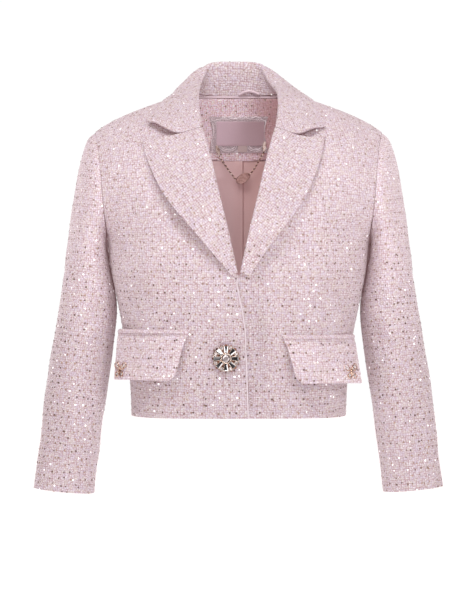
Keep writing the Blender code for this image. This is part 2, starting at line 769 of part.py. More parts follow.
def build_flap(side, tweed):
    def surface(across, down):
        return flap_point(side, across, down)

    downs = spread(0, 0.78, 6) + [0.85, 0.91, 0.96, 0.99]
    name = f"flap_{SIDE_NAMES[side]}"
    return wall(name, surface, rounded(0, 1, 12), downs, FLAP_TWEED, (0, 0, -0.36), tweed)


# --- Inside the back -------------------------------------------------------------------------------
def inside_back(x, height, depth):
    """A point this deep inside the back's outer face."""
    step = 0.001
    here = Vector((x, body_y(BACK, LEFT, x, height), height))
    beside = Vector((x + step, body_y(BACK, LEFT, x + step, height), height))
    above = Vector((x, body_y(BACK, LEFT, x, height + step), height + step))
    normal = (above - here).cross(beside - here).normalized()
    return here - normal * depth


def build_neck_facing(tweed):
    depth = TWEED + LINING_GAP

    def top(x):
        return -0.0012 if abs(x) < NECK_OUT else SHOULDER.at(abs(x)).height - 0.0040

    def surface(x, part):
        lower = NECK_FACING_HEIGHT + 0.010 * (x / NECK_FACING_OUT) ** 2
        height = blend(lower, top(x) - 0.0025 * (abs(x) / NECK_OUT) ** 3, part)
        return inside_back(x, height, depth)

    across = spread(-0.0600, 0.0600, 11)
    parts = spread(0, 1, 7)
    name = "back_neck_facing"
    return wall(name, surface, across, parts, FACING, (0, 0, -0.04), tweed)


def build_lining(satin):
    def pleat(x):
        """A pleat that lies over to one side: a slow rise, then a steep step down."""
        before = ease(PLEAT_PLACE - PLEAT_WIDTH, PLEAT_PLACE - 0.001, x)
        return PLEAT_DEPTH * before * (1 - ease(PLEAT_PLACE, PLEAT_PLACE + 0.0022, x))

    def surface(x, height):
        return inside_back(x, height, TWEED + LINING_GAP + pleat(x))

    near = [PLEAT_PLACE + step for step in (-0.0160, -0.010, -0.0045, -0.0010, 0.0, 0.0011, 0.0022)]
    across = spread(-0.120, -0.030, 7) + near + spread(0.026, 0.120, 7)
    heights = spread(LINING_HEM, NECK_FACING_HEIGHT - 0.0004, 11)
    return wall("back_lining", surface, across, heights, SATIN, (0, 0.02, -0.25), satin)


def sewn_inside(name, outline, depth, thickness, material):
    """A flat trim on the neck facing, from an outline of (x, height) points."""

    def place(x, height, rise):
        return inside_back(x, height, depth + rise)

    return prism(name, outline, place, thickness, material)


def build_patch(name, box, depth, columns, waist, material):
    """A rectangle of ribbon on the neck facing, whose two short sides draw in by waist."""
    left, right, bottom, top = box

    def surface(across, up):
        draw = waist * math.sin(math.pi * up) * (1 - 2 * across)
        return inside_back(blend(left, right, across) + draw, blend(bottom, top, up), depth)

    centre = ((left + right) / 2, 0, (bottom + top) / 2)
    return wall(name, surface, spread(0, 1, columns), spread(0, 1, 5), RIBBON, centre, material)


def build_label(satin, ribbon):
    lace = TWEED + LINING_GAP + FACING + LINING_GAP / 2
    label = lace + RIBBON + GAP
    build_patch("label_lace_edge", LACE_BOX, lace, 11, LACE_WAIST, ribbon)
    build_patch("neck_label", LABEL_BOX, label, 9, 0.0, satin)
    build_patch("size_tab", SIZE_TAB_BOX, label, 3, 0.0, ribbon)


def build_hanging_loop(tweed):
    points = []
    for part in spread(0, 1, 13):
        x = blend(LOOP_START, LOOP_END, part)
        arch = math.sin(math.pi * part)
        foot = station(COLLAR_SEAM, LEFT, 0.14 * x / 0.019)
        points.append((x, foot.y - 0.0030 - 0.0015 * arch, foot.z + 0.0010 + LOOP_RISE * arch))
    return tube("hanging_loop", points, LOOP_RADIUS, tweed)


# --- The hanging chain -----------------------------------------------------------------------------
RouteStop = namedtuple("RouteStop", "x height")
CHAIN_ROUTES = {
    RIGHT: [
        RouteStop(-0.0235, -0.0880),
        RouteStop(-0.0185, -0.0956),
        RouteStop(-0.0130, -0.1036),
        RouteStop(-0.0085, -0.1091),
    ],
    LEFT: [
        RouteStop(0.0345, -0.0808),
        RouteStop(0.0300, -0.0888),
        RouteStop(0.0257, -0.0962),
        RouteStop(0.0218, -0.1020),
    ],
}


def chain_place(x, height):
    """A point of the hanging chain, clear of the lining behind it."""
    return inside_back(x, height, TWEED + LINING_GAP + CHAIN_STAND_OFF)


def tag_place(u, v, w):
    """A point of the oval tag: u along it, v across it and w out of its middle plane."""
    along, up = math.cos(TAG_TURN), math.sin(TAG_TURN)
    return chain_place(*TAG_CENTRE) + Vector((u * along - v * up, w, u * up + v * along))


def tag_join(side, away):
    """A place this far off the tag's rim, straight out from where a chain meets it."""
    turn = TAG_JOINS[side]
    rim = Vector((TAG_LENGTH / 2 * math.cos(turn), TAG_WIDTH / 2 * math.sin(turn)))
    out = Vector((math.cos(turn) / TAG_LENGTH, math.sin(turn) / TAG_WIDTH)).normalized()
    return tag_place(*(rim + away * out), 0.0)


def tab_join(side, away):
    """A place this far below a tab's lower tip."""
    tab = CHAIN_TABS[side]
    drop = TAB_HALF_LENGTH + away
    depth = TAB_DEPTH + TAB_THICKNESS / 2 + 0.3 * (away - JOIN_GAP)
    return inside_back(tab.x + drop * tab.lean, tab.height - drop, depth)


def build_chain(gold):
    for side, stops in CHAIN_ROUTES.items():
        points = [tab_join(side, JOIN_GAP), tab_join(side, JOIN_RUN)]
        points += [chain_place(*stop) for stop in stops]
        points += [tag_join(side, JOIN_RUN), tag_join(side, JOIN_GAP)]
        route = Table("along x y z", *[(i, *point) for i, point in enumerate(points)])
        rows = [route.at(along) for along in spread(0, len(points) - 1, 19)]
        name = f"chain_{SIDE_NAMES[side]}"
        tube(name, [(row.x, row.y, row.z) for row in rows], CHAIN_RADIUS, gold)


def build_tag(gold):
    """The oval tag between the two chains."""
    outline = [
        (TAG_LENGTH / 2 * math.cos(turn), TAG_WIDTH / 2 * math.sin(turn))
        for turn in spread(0, 2 * math.pi, 21)[:-1]
    ]

    def place(u, v, w):
        return tag_place(u, v, w - TAG_THICKNESS / 2)

    prism("chain_tag", outline, place, TAG_THICKNESS, gold)


def build_chain_tabs(gold):
    """The leaf-shaped tabs that hold the chain to the label's lower corners."""
    for side, tab in CHAIN_TABS.items():
        outline = []
        for turn in spread(0, 2 * math.pi, 13)[:-1]:
            up = TAB_HALF_LENGTH * math.cos(turn)
            sideways = TAB_HALF_WIDTH * math.sin(turn) - up * tab.lean
            outline.append((tab.x + sideways, tab.height + up))
        name = f"chain_tab_{SIDE_NAMES[side]}"
        sewn_inside(name, outline, TAB_DEPTH, TAB_THICKNESS, gold)


# --- Button ----------------------------------------------------------------------------------------
def button_place(u, v, w):
    """A point of the button: u across it, v up it and w out from its back."""
    x = RIGHT * BUTTON_OUT
    base = body_y(FRONT, RIGHT, BUTTON_OUT, BUTTON_HEIGHT)
    return Vector((x + u, base - BUTTON_CLEARANCE - w, BUTTON_HEIGHT + v))


def turned(u, v, angle):
    return (
        u * math.cos(angle) - v * math.sin(angle),
        u * math.sin(angle) + v * math.cos(angle),
    )


def stone(name, outline, height, crown_share, material):
    """A cut stone: a straight girdle under a crown that narrows to a flat table."""
    count = len(outline)
    middle = [sum(values) / count for values in zip(*outline)]
    base = BUTTON_THICKNESS + STONE_GAP
    levels = ((0.0, 1.0), (height * 0.5, 1.0), (height, crown_share))
    vertices = []
    for rise, share in levels:
        for u, v in outline:
            place = (blend(middle[0], u, share), blend(middle[1], v, share))
            vertices.append(button_place(*place, base + rise))
    faces = [list(range(count)), list(range(2 * count, 3 * count))]
    for level in range(len(levels) - 1):
        for start in range(count):
            end = (start + 1) % count
            low, high = level * count, (level + 1) * count
            faces.append([low + start, low + end, high + end, high + start])
    return add_object(name, vertices, faces, material)


def build_round_stone(name, size, angle, material):
    centre = turned(size.out, 0, angle)
    outline = [
        (centre[0] + size.radius * math.cos(turn), centre[1] + size.radius * math.sin(turn))
        for turn in spread(0, 2 * math.pi, size.corners + 1)[:-1]
    ]
    stone(name, outline, size.height, size.crown, material)


def build_button(metal, crystal, jet):
    scallops = []
    for turn in spread(0, 2 * math.pi, 65)[:-1]:
        radius = BUTTON_RADIUS + SCALLOP * math.cos(2 * STONES * turn)
        scallops.append((radius * math.cos(turn), radius * math.sin(turn)))
    prism("button_setting", scallops, button_place, BUTTON_THICKNESS, metal)
    wedge = (
        (BAGUETTE.inner_out, -BAGUETTE.inner_half),
        (BAGUETTE.outer_out, -BAGUETTE.outer_half),
        (BAGUETTE.outer_out, BAGUETTE.outer_half),
        (BAGUETTE.inner_out, BAGUETTE.inner_half),
    )
    for index in range(STONES):
        angle = 2 * math.pi * index / STONES
        outline = [turned(u, v, angle) for u, v in wedge]
        name = f"button_baguette_{index + 1}"
        stone(name, outline, BAGUETTE.height, BAGUETTE.crown, jet)
        between = angle + math.pi / STONES
        build_round_stone(f"button_chaton_{index + 1}", CHATON, between, crystal)
    build_round_stone("button_centre_stone", CENTRE_STONE, 0.0, crystal)


# --- Butterflies -----------------------------------------------------------------------------------
def butterfly_outline():
    """Two large upper wings in a V over two smaller lower ones, as one outline."""
    outline = []
    for turn in spread(0, 2 * math.pi, 41)[:-1]:
        wing = UPPER_WING if math.sin(turn) > 0 else LOWER_WING
        from_wing = min(abs(math.atan2(math.sin(turn), abs(math.cos(turn))) - wing.angle), math.pi / 4)
        share = math.cos(2 * from_wing) ** 2
        reach = blend(BUTTERFLY_WAIST, wing.reach, share)
        outline.append((reach * math.cos(turn), reach * math.sin(turn)))
    return outline


def build_butterfly(side, gold):
    across, down = BUTTERFLY_PLACES[side]
    step = 0.03
    centre = flap_point(side, across, down)
    right = flap_point(side, across + step, down) - flap_point(side, across - step, down)
    up = flap_point(side, across, down - step) - flap_point(side, across, down + step)
    right, up = (side * right).normalized(), up.normalized()
    out = up.cross(right).normalized()
    if out.y > 0:
        out = -out

    def place(u, v, w):
        return centre + right * u + up * v + out * (w + BUTTERFLY_GAP)

    name = f"butterfly_{SIDE_NAMES[side]}"
    return prism(name, butterfly_outline(), place, BUTTERFLY_THICKNESS, gold)


def main():
    for obj in list(bpy.data.objects):
        bpy.data.objects.remove(obj)
    tweed = make_material("pink_tweed", (0.74, 0.56, 0.61), 0.9)
    satin = make_material("peach_satin", (0.72, 0.47, 0.44), 0.35)
    label_satin = make_material("label_satin", (0.50, 0.38, 0.44), 0.35)
    ribbon = make_material("pale_lace", (0.83, 0.72, 0.75), 0.8)
    gold = make_material("rose_gold", (0.68, 0.42, 0.28), 0.28, 1.0)
    crystal = make_material("crystal", (0.85, 0.85, 0.88), 0.05)
    jet = make_material("jet_stone", (0.02, 0.02, 0.025), 0.08)

    build_back(tweed)
    for side in (RIGHT, LEFT):
        build_front(side, tweed)
        build_sleeve(side, "upper", tweed)
        build_sleeve(side, "under", tweed)
        build_lapel(side, tweed)
        build_welt(side, tweed)
        build_flap(side, tweed)
        build_butterfly(side, gold)
    build_collar(tweed)
    build_neck_facing(tweed)
    build_lining(satin)
    build_label(label_satin, ribbon)
    build_hanging_loop(tweed)
    build_chain(gold)
    build_tag(gold)
    build_chain_tabs(gold)
    build_button(gold, crystal, jet)


main()
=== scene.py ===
import math
from collections import namedtuple
from functools import partial

import bmesh
import bpy
import numpy as np
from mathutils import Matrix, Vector
from mathutils.bvhtree import BVHTree


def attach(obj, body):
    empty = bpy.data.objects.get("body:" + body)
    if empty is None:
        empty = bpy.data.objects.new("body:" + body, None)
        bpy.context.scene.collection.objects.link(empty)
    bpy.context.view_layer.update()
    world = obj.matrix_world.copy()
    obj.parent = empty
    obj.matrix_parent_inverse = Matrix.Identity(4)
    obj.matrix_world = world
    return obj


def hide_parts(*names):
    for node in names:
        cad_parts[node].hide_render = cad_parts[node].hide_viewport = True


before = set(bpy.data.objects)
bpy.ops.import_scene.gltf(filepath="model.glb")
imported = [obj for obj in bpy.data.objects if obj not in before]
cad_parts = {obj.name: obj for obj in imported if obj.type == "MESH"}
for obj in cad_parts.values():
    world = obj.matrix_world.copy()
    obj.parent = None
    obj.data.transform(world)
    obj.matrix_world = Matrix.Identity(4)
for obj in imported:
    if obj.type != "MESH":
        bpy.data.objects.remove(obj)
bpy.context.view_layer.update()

RIGHT, LEFT = -1, 1
SIDE_NAMES = {RIGHT: "right", LEFT: "left"}

# --- Colours, linear -------------------------------------------------------------------------------
LOOP_PINK = (0.655, 0.592, 0.640)
LOOP_WHITE = (0.785, 0.76, 0.80)
GAP_MAUVE = (0.425, 0.275, 0.30)
# Painted shade for the neck facing on the wearer's left.
NECK_PAINTED_SHADE = (0.34, 0.17, 0.17)
BEIGE_TINT = (0.655, 0.605, 0.55)
LILAC_TINT = (0.615, 0.56, 0.71)
ROSE_GOLD = (0.86, 0.67, 0.55)
THREAD_BROWN = (0.36, 0.22, 0.17)
LACE_PALE = (0.95, 0.87, 0.91)
LACE_GAP = (0.62, 0.46, 0.52)
# The chain's painted shade, its dull reflections and its painted highlight.
LINK_PAINTED_SHADE = (0.150, 0.045, 0.026)
LINK_DULL = (0.62, 0.36, 0.24)
LINK_PAINTED_HIGHLIGHT = (1.0, 0.88, 0.78)
CAST_DULL = (0.62, 0.47, 0.38)
CAST_BRIGHT = (0.93, 0.86, 0.80)
# Painted shade deep between the button's stones.
RECESS_SHADE_DARK = (0.08, 0.03, 0.02)
RECESS_SHADE_LIGHT = (0.30, 0.13, 0.085)
SEQUIN_SMOKE = (0.105, 0.060, 0.048)
SEQUIN_BROWN = (0.40, 0.27, 0.215)
SEQUIN_HIGHER = (0.48, 0.36, 0.32)
# The sequins' painted white glint.
SEQUIN_GLINT = (1.0, 0.98, 0.98)


# --- Node trees ------------------------------------------------------------------------------------
def arithmetic(operation):
    """The operator and its reflected form for one Math node operation."""

    def forward(wire, other):
        return wire.tree.add("ShaderNodeMath", {"operation": operation}, wire, other)

    def reflected(wire, other):
        return wire.tree.add("ShaderNodeMath", {"operation": operation}, other, wire)

    return forward, reflected


class Wire:
    """An output socket that sums, products and the like can be written with."""

    def __init__(self, tree, socket):
        self.tree, self.socket = tree, socket

    __add__, __radd__ = arithmetic("ADD")
    __sub__, __rsub__ = arithmetic("SUBTRACT")
    __mul__, __rmul__ = arithmetic("MULTIPLY")
    __truediv__, __rtruediv__ = arithmetic("DIVIDE")
    __gt__, __lt__ = arithmetic("GREATER_THAN")

    def other(self, name):
        """Another output of the same node."""
        return Wire(self.tree, named_socket(self.socket.node.outputs, name))


def named_socket(sockets, name):
    return next(socket for socket in sockets if socket.enabled and socket.name == name)


class Tree:
    """A node tree; add() makes any node from its type, its settings and its sockets."""

    def __init__(self, node_tree):
        self.nodes, self.links = node_tree.nodes, node_tree.links

    def add(self, kind, settings=None, *in_order, **by_name):
        node = self.nodes.new(kind)
        for name, value in (settings or {}).items():
            setattr(node, name, value)
        open_sockets = [socket for socket in node.inputs if socket.enabled]
        for socket, value in zip(open_sockets, in_order):
            self.feed(socket, value)
        for name, value in by_name.items():
            self.feed(named_socket(node.inputs, name.replace("_", " ")), value)
        outputs = [socket for socket in node.outputs if socket.enabled]
        return Wire(self, outputs[0]) if outputs else node

    def feed(self, socket, value):
        """Link a wire to a socket, or set its own value; a colour needs no fourth number."""
        if isinstance(value, Wire):
            self.links.new(value.socket, socket)
        elif socket.type == "RGBA" and len(value) == 3:
            socket.default_value = (*value, 1.0)
        else:
            socket.default_value = value

    def mix(self, share, first, second):
        return self.add("ShaderNodeMix", {"data_type": "RGBA"}, share, first, second)

    def vector(self, operation, first, second):
        """Vector Math on two places, or on a place or colour and a number."""
        return self.add("ShaderNodeVectorMath", {"operation": operation}, first, second)

    def shade(self, colour, share):
        """The colour, or a direction, times a share."""
        return self.vector("SCALE", colour, share)

    def stretch(self, place, *scale):
        return self.vector("MULTIPLY", place, scale)

    def place(self):
        """Where a point lies on the jacket, in metres."""
        return self.add("ShaderNodeTexCoord").other("Object")

    def level(self, value, low, high):
        """0 at low and below, 1 at high and above, smooth between."""
        return self.add("ShaderNodeMapRange", {"interpolation_type": "SMOOTHSTEP"}, value, low, high)

    def rise(self, axis, low, high, place=None):
        """The level that a place has reached along one axis."""
        return self.level(self.add("ShaderNodeSeparateXYZ", {}, place or self.place()).other(axis), low, high)

    def noise(self, place, scale, detail=2.0):
        return self.add("ShaderNodeTexNoise", {}, Vector=place, Scale=scale, Detail=detail)

    def chance(self, low, high, seed):
        """A random number or vector for each point."""
        kind = "FLOAT_VECTOR" if isinstance(low, tuple) else "FLOAT"
        return self.add("FunctionNodeRandomValue", {"data_type": kind}, low, high, Seed=seed)


def new_material(name, **shader_values):
    """A material with its tree and its Principled shader; constant values go on the shader."""
    material = bpy.data.materials.new(name)
    material.use_nodes = True
    tree = Tree(material.node_tree)
    shader = next(node for node in tree.nodes if node.type == "BSDF_PRINCIPLED")
    for socket_name, value in shader_values.items():
        tree.feed(shader.inputs[socket_name.replace("_", " ")], value)
    return material, tree, shader


def raise_surface(tree, shader, height, distance, strength=1.0):
    """Light and shade as if the surface rose where this is high."""
    bump = tree.add("ShaderNodeBump", {}, Strength=strength, Distance=distance, Height=height)
    tree.feed(shader.inputs["Normal"], bump)


# --- Materials -------------------------------------------------------------------------------------
LOOP_PITCH = 0.0031
LOOP_WANDER = 0.0030
# Where painted light and shade, and the sequins' tone, change, each with its two ends in metres: upwards, to
# the wearer's left, or inwards.
TWEED_RISE = (-0.43, -0.13)
NECK_SHADE = (0.002, 0.050)
SATIN_RISE = (-0.21, -0.10)
SATIN_SHADE = (-0.036, 0.034)
SEQUIN_RISE = (-0.34, -0.10)
BUTTON_DEPTH = (-0.1169, -0.1156)


def tweed_material(name, hem_painted_light, neck_painted_light, left_painted_shade=0.0):
    """Boucle tweed: uneven pale loops over darker gaps, with slubs along both threads, and painted light and
    shade.
    """
    # A faint warm glow is painted light, for light bounced between the loops into the shadows.
    material, tree, shader = new_material(
        name, Roughness=0.92, Sheen_Weight=0.55, Sheen_Roughness=0.45,
        Sheen_Tint=(1.0, 0.93, 0.95), Specular_IOR_Level=0.25,
        Emission_Color=(1.0, 0.36, 0.34), Emission_Strength=0.042,
    )
    cloth = tree.add("ShaderNodeUVMap", {"uv_map": "weave"})
    drift = tree.vector("SUBTRACT", tree.noise(cloth, 150.0).other("Color"), (0.5, 0.5, 0.5))
    drift = tree.stretch(drift, LOOP_WANDER, LOOP_WANDER, 0.0)
    loops = tree.add(
        "ShaderNodeTexVoronoi", {"voronoi_dimensions": "2D"},
        Vector=tree.vector("ADD", cloth, drift), Scale=1 / LOOP_PITCH, Randomness=0.50,
    )
    crown = 1 - tree.level(loops, 0.16, 0.66)
    loop_tone = tree.add("ShaderNodeSeparateColor", {}, loops.other("Color"))
    weft = tree.noise(tree.stretch(cloth, 55.0, 420.0, 1.0), 1.0)
    warp = tree.noise(tree.stretch(cloth, 420.0, 55.0, 1.0), 1.0)
    slub = weft * 0.55 + warp * 0.45
    patch = tree.noise(cloth, 16.0, 3.0)
    fibre = tree.noise(cloth, 1500.0)
    colour = tree.mix(0.14 + crown * 0.86, GAP_MAUVE, LOOP_PINK)
    colour = tree.mix(crown * tree.level(loop_tone, 0.55, 0.95) * 0.8, colour, LOOP_WHITE)
    colour = tree.mix(tree.level(loop_tone.other("Green"), 0.62, 0.80) * 0.40, colour, BEIGE_TINT)
    colour = tree.mix(tree.level(loop_tone.other("Blue"), 0.66, 0.84) * 0.36, colour, LILAC_TINT)
    # Painted shade: darker and warmer towards the wearer's left, as far as asked.
    colour = tree.mix(tree.rise("X", *NECK_SHADE) * left_painted_shade, colour, NECK_PAINTED_SHADE)
    tone = 0.60 + slub * 0.38 + patch * 0.15 + fibre * 0.16
    # Painted light and shade: the tone goes from the hem's to the neck's with height.
    tone = tone * (hem_painted_light + tree.rise("Z", *TWEED_RISE) * (neck_painted_light - hem_painted_light))
    tree.feed(shader.inputs["Base Color"], tree.shade(colour, tone))
    raise_surface(tree, shader, crown * 0.8 + slub * 0.7 + fibre * 0.25, 0.0009, 0.55)
    return material


def satin_material(name, colour, folds, painted_shade_colour=None):
    """Satin with fine cross threads, soft drifts of painted sheen, and painted shade: darker and warmer
    towards the wearer's left, darker lower down.
    """
    material, tree, shader = new_material(
        name, Roughness=0.38, Sheen_Weight=0.2, Sheen_Roughness=0.35, Specular_IOR_Level=0.45,
    )
    place = tree.place()
    thread = tree.noise(tree.stretch(place, 350.0, 350.0, 3000.0), 1.0)
    drift = tree.noise(tree.stretch(place, 14.0, 14.0, 5.0), 1.0)
    # Painted shade: towards the shaded colour on the wearer's left.
    colour = tree.mix(tree.rise("X", *SATIN_SHADE), colour, painted_shade_colour or colour)
    # Painted sheen: soft drifts of lighter and darker tone.
    tone = 0.92 - folds / 2 + drift * folds + thread * 0.14
    # Painted shade: darker lower down.
    tone = tone * (0.80 + tree.rise("Z", *SATIN_RISE) * 0.20)
    tree.feed(shader.inputs["Base Color"], tree.shade(colour, tone))
    tree.feed(shader.inputs["Roughness"], 0.30 + drift * 0.12)
    raise_surface(tree, shader, thread, 0.0002, 0.35)
    return material


def metal_material(name, colour, dark, roughness=0.24, metallic=1.0):
    """Plated metal, a little duller in patches, with darker patches painted in as reflections."""
    material, tree, shader = new_material(name, Metallic=metallic, Roughness=roughness)
    place = tree.place()
    cloud = tree.noise(place, 260.0)
    scratch = tree.noise(tree.stretch(place, 900.0, 900.0, 5200.0), 1.0)
    # Painted reflections: patches of the darker colour.
    tree.feed(shader.inputs["Base Color"], tree.mix(tree.level(cloud, 0.36, 0.58), dark, colour))
    tree.feed(shader.inputs["Roughness"], roughness - 0.06 + cloud * 0.16)
    raise_surface(tree, shader, scratch, 0.00003, 0.3)
    return material


def chain_material():
    """Old gold with painted highlight and shade in bands along its height, for the links' bright faces and
    dark turns.
    """
    material, tree, shader = new_material("chain_gold", Metallic=0.3, Roughness=0.28)
    place = tree.place()
    # Painted highlight and shade in bands along the height, with painted reflections in patches.
    turn = tree.add("ShaderNodeTexWave", {"bands_direction": "Z"}, place, Scale=68.0).other("Fac")
    cloud = tree.noise(place, 420.0)
    link = tree.mix(tree.level(cloud, 0.35, 0.65), LINK_DULL, LINK_PAINTED_HIGHLIGHT)
    tree.feed(shader.inputs["Base Color"], tree.mix(tree.level(turn, 0.40, 0.60), LINK_PAINTED_SHADE, link))
    tree.feed(shader.inputs["Roughness"], 0.22 + cloud * 0.16)
    return material


def button_gold_material():
    """Pale cast gold on the claws and rims with painted reflections, painted dark as shade deep down between
    the stones.
    """
    material, tree, shader = new_material("button_gold", Metallic=1.0, Roughness=0.2)
    place = tree.place()
    cloud = tree.noise(place, 420.0)
    deep = tree.rise("Y", *BUTTON_DEPTH)
    # Painted reflections: pale patches, brighter and duller.
    pale = tree.mix(tree.level(cloud, 0.40, 0.60), CAST_DULL, CAST_BRIGHT)
    # Painted shade: dark deep down between the stones, by depth.
    recess_shade = tree.mix(tree.level(cloud, 0.42, 0.58), RECESS_SHADE_DARK, RECESS_SHADE_LIGHT)
    tree.feed(shader.inputs["Base Color"], tree.mix(deep, pale, recess_shade))
    tree.feed(shader.inputs["Roughness"], 0.14 + deep * 0.25 + cloud * 0.10)
    raise_surface(tree, shader, cloud, 0.00005, 0.3)
    return material


def stone_material(name, dull, bright, glow):
    """Cut glass on foil: each facet has a painted reflection of its own brightness, kept on the stone as
    flash; the brighter facets glow.
    """
    material, tree, shader = new_material(
        name, Roughness=0.06, Specular_IOR_Level=0.35, Emission_Strength=glow,
    )
    flash = tree.add("ShaderNodeAttribute", {"attribute_name": "flash"}).other("Fac")
    glint = tree.noise(tree.place(), 900.0, 1.0)
    tree.feed(shader.inputs["Base Color"], tree.mix(flash * (0.85 + glint * 0.20), dull, bright))
    tree.feed(shader.inputs["Emission Color"], tree.shade(bright, tree.level(flash, 0.6, 1.0)))
    return material


def sequin_material():
    """Small flat sequins, each with its own tone from smoke brown to white, lighter higher up; the white ones
    are painted glints that glow.
    """
    material, tree, shader = new_material(
        "sequin", Roughness=0.40, Specular_IOR_Level=0.35, Emission_Strength=0.5,
    )
    tone = tree.add("ShaderNodeAttribute", {"attribute_name": "tone"}).other("Fac")
    rub = tree.noise(tree.place(), 1500.0, 1.0)
    brown = tree.mix(tree.level(tone, 0.0, 0.90), SEQUIN_SMOKE, SEQUIN_BROWN)
    brown = tree.mix(tree.rise("Z", *SEQUIN_RISE) * 0.60, brown, SEQUIN_HIGHER)
    # Painted glints: the palest few turn white and glow.
    white = tree.level(tone, 0.91, 0.93)
    tree.feed(shader.inputs["Base Color"], tree.shade(tree.mix(white, brown, SEQUIN_GLINT), 0.85 + rub * 0.3))
    tree.feed(shader.inputs["Emission Color"], tree.mix(white, (0, 0, 0), SEQUIN_GLINT))
    return material


def lace_material():
    """Pale ribbon lace: an open net with denser flecks."""
    material, tree, shader = new_material("pale_lace", Roughness=0.8, Sheen_Weight=0.25)
    place = tree.place()
    net = tree.add("ShaderNodeTexVoronoi", {"feature": "DISTANCE_TO_EDGE"}, Vector=place, Scale=900.0)
    fleck = tree.level(tree.noise(place, 260.0), 0.46, 0.58)
    thread = 1 - tree.level(net, 0.04, 0.16) * (1 - fleck * 0.6)
    tree.feed(shader.inputs["Alpha"], 0.26 + thread * 0.60)
    tree.feed(shader.inputs["Base Color"], tree.mix(thread, LACE_GAP, LACE_PALE))
    raise_surface(tree, shader, thread, 0.0003, 0.6)
    return material


def thread_material(name, colour):
    """Twisted sewing thread."""
    material, tree, shader = new_material(name, Roughness=0.6, Sheen_Weight=0.3)
    twist = tree.noise(tree.place(), 2400.0, 1.0)
    tree.feed(shader.inputs["Base Color"], tree.shade(colour, 0.8 + twist * 0.4))
    raise_surface(tree, shader, twist, 0.0001, 0.5)
    return material


# Copies of one tweed with their own painted light and shade: each goes from its hem tone to its neck tone
# with height; the neck facing is painted much brighter, with painted shade on the wearer's left.
TWEED = tweed_material("boucle_tweed", hem_painted_light=0.85, neck_painted_light=0.98)
SLEEVE_TWEED = tweed_material("sleeve_tweed", hem_painted_light=0.86, neck_painted_light=1.07)
TRIM_TWEED = tweed_material("trim_tweed", hem_painted_light=1.0, neck_painted_light=0.94)
NECK_TWEED = tweed_material("neck_tweed", hem_painted_light=0.72, neck_painted_light=1.62, left_painted_shade=0.62)
# The second colour of a satin is its painted shade, towards the wearer's left.
PEACH_SATIN = satin_material("peach_satin", (0.94, 0.70, 0.71), folds=0.16, painted_shade_colour=(0.72, 0.46, 0.44))
LABEL_SATIN = satin_material("label_satin", (0.78, 0.60, 0.68), folds=0.3, painted_shade_colour=(0.56, 0.40, 0.44))
SIZE_RIBBON = satin_material("size_ribbon", (0.62, 0.50, 0.49), folds=0.1)
GOLD = metal_material("rose_gold", ROSE_GOLD, (0.30, 0.13, 0.08))
TAG_GOLD = metal_material("antique_rose_gold", (0.40, 0.245, 0.225), (0.27, 0.150, 0.135), roughness=0.36)
TAB_GOLD = metal_material("bright_antique_gold", (0.92, 0.79, 0.72), (0.34, 0.22, 0.17), 0.22, metallic=0.5)
BRIGHT_GOLD = metal_material("bright_rose_gold", (0.90, 0.76, 0.66), (0.50, 0.32, 0.24), roughness=0.16)
BUTTON_GOLD = button_gold_material()
CHAIN_GOLD = chain_material()
# The stones' facets carry painted reflections, and their glow is painted light.
CRYSTAL = stone_material("crystal", (0.10, 0.07, 0.07), (0.86, 0.80, 0.80), glow=0.25)
JET = stone_material("jet_stone", (0.003, 0.003, 0.004), (0.92, 0.91, 0.94), glow=0.55)
SEQUIN = sequin_material()
LACE = lace_material()
LACE_CORD = thread_material("lace_cord", (0.97, 0.90, 0.93))
ROLLED_TWEED = thread_material("rolled_tweed", (0.66, 0.53, 0.58))
ROLLED_EDGE = thread_material("rolled_edge", (0.615, 0.535, 0.575))
LABEL_THREAD = thread_material("label_thread", THREAD_BROWN)
SEAM_THREAD = thread_material("seam_thread", (0.30, 0.16, 0.14))


# --- Camera ----------------------------------------------------------------------------------------
CAMERA_PLACE = (-0.0112, -2.800, -0.291)
LENS_MM, SENSOR_MM = 120, 36


def placed(name, data):
    """A new object, linked into the scene."""
    thing = bpy.data.objects.new(name, data)
    bpy.context.collection.objects.link(thing)
    return thing


def build_camera():
    """A level camera in front of the jacket."""
    data = bpy.data.cameras.new("camera")
    data.lens, data.sensor_width = LENS_MM, SENSOR_MM
    camera = placed("camera", data)
    camera.location = CAMERA_PLACE
    camera.rotation_euler = (math.radians(90), 0, 0)
    bpy.context.scene.camera = camera


build_camera()


# --- Making pieces ---------------------------------------------------------------------------------
def keep(name, mesh, *materials, slot, replaces=(), smooth=True):
    """A finished piece from a mesh that already lies in its place."""
    mesh.name = name
    mesh.materials.clear()
    for material in materials:
        mesh.materials.append(material)
    if smooth:
        mesh.polygons.foreach_set("use_smooth", np.ones(len(mesh.polygons), dtype=bool))
    piece = placed(name, mesh)
    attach(piece, "root")
    if replaces:
        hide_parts(*replaces)
    return piece


def mesh_of(shape):
    """A mesh from a bmesh, which is freed."""
    mesh = bpy.data.meshes.new("working")
    shape.to_mesh(mesh)
    shape.free()
    return mesh


def plain(worker):
    """The plain mesh that an object's modifiers make; the object is removed."""
    bpy.context.view_layer.update()
    result = bpy.data.meshes.new_from_object(worker.evaluated_get(bpy.context.evaluated_depsgraph_get()))
    bpy.data.objects.remove(worker)
    return result


def finished(mesh, kind, **settings):
    """The mesh with one modifier applied."""
    worker = placed("worker", mesh)
    modifier = worker.modifiers.new(kind, kind)
    for name, value in settings.items():
        setattr(modifier, name, value)
    result = plain(worker)
    bpy.data.meshes.remove(mesh)
    return result


def softened(mesh, width, degrees):
    """The mesh with a small round bevel on its edges that are sharper than this."""
    sharp = math.radians(degrees)
    return finished(mesh, "BEVEL", width=width, segments=2, limit_method="ANGLE", angle_limit=sharp)


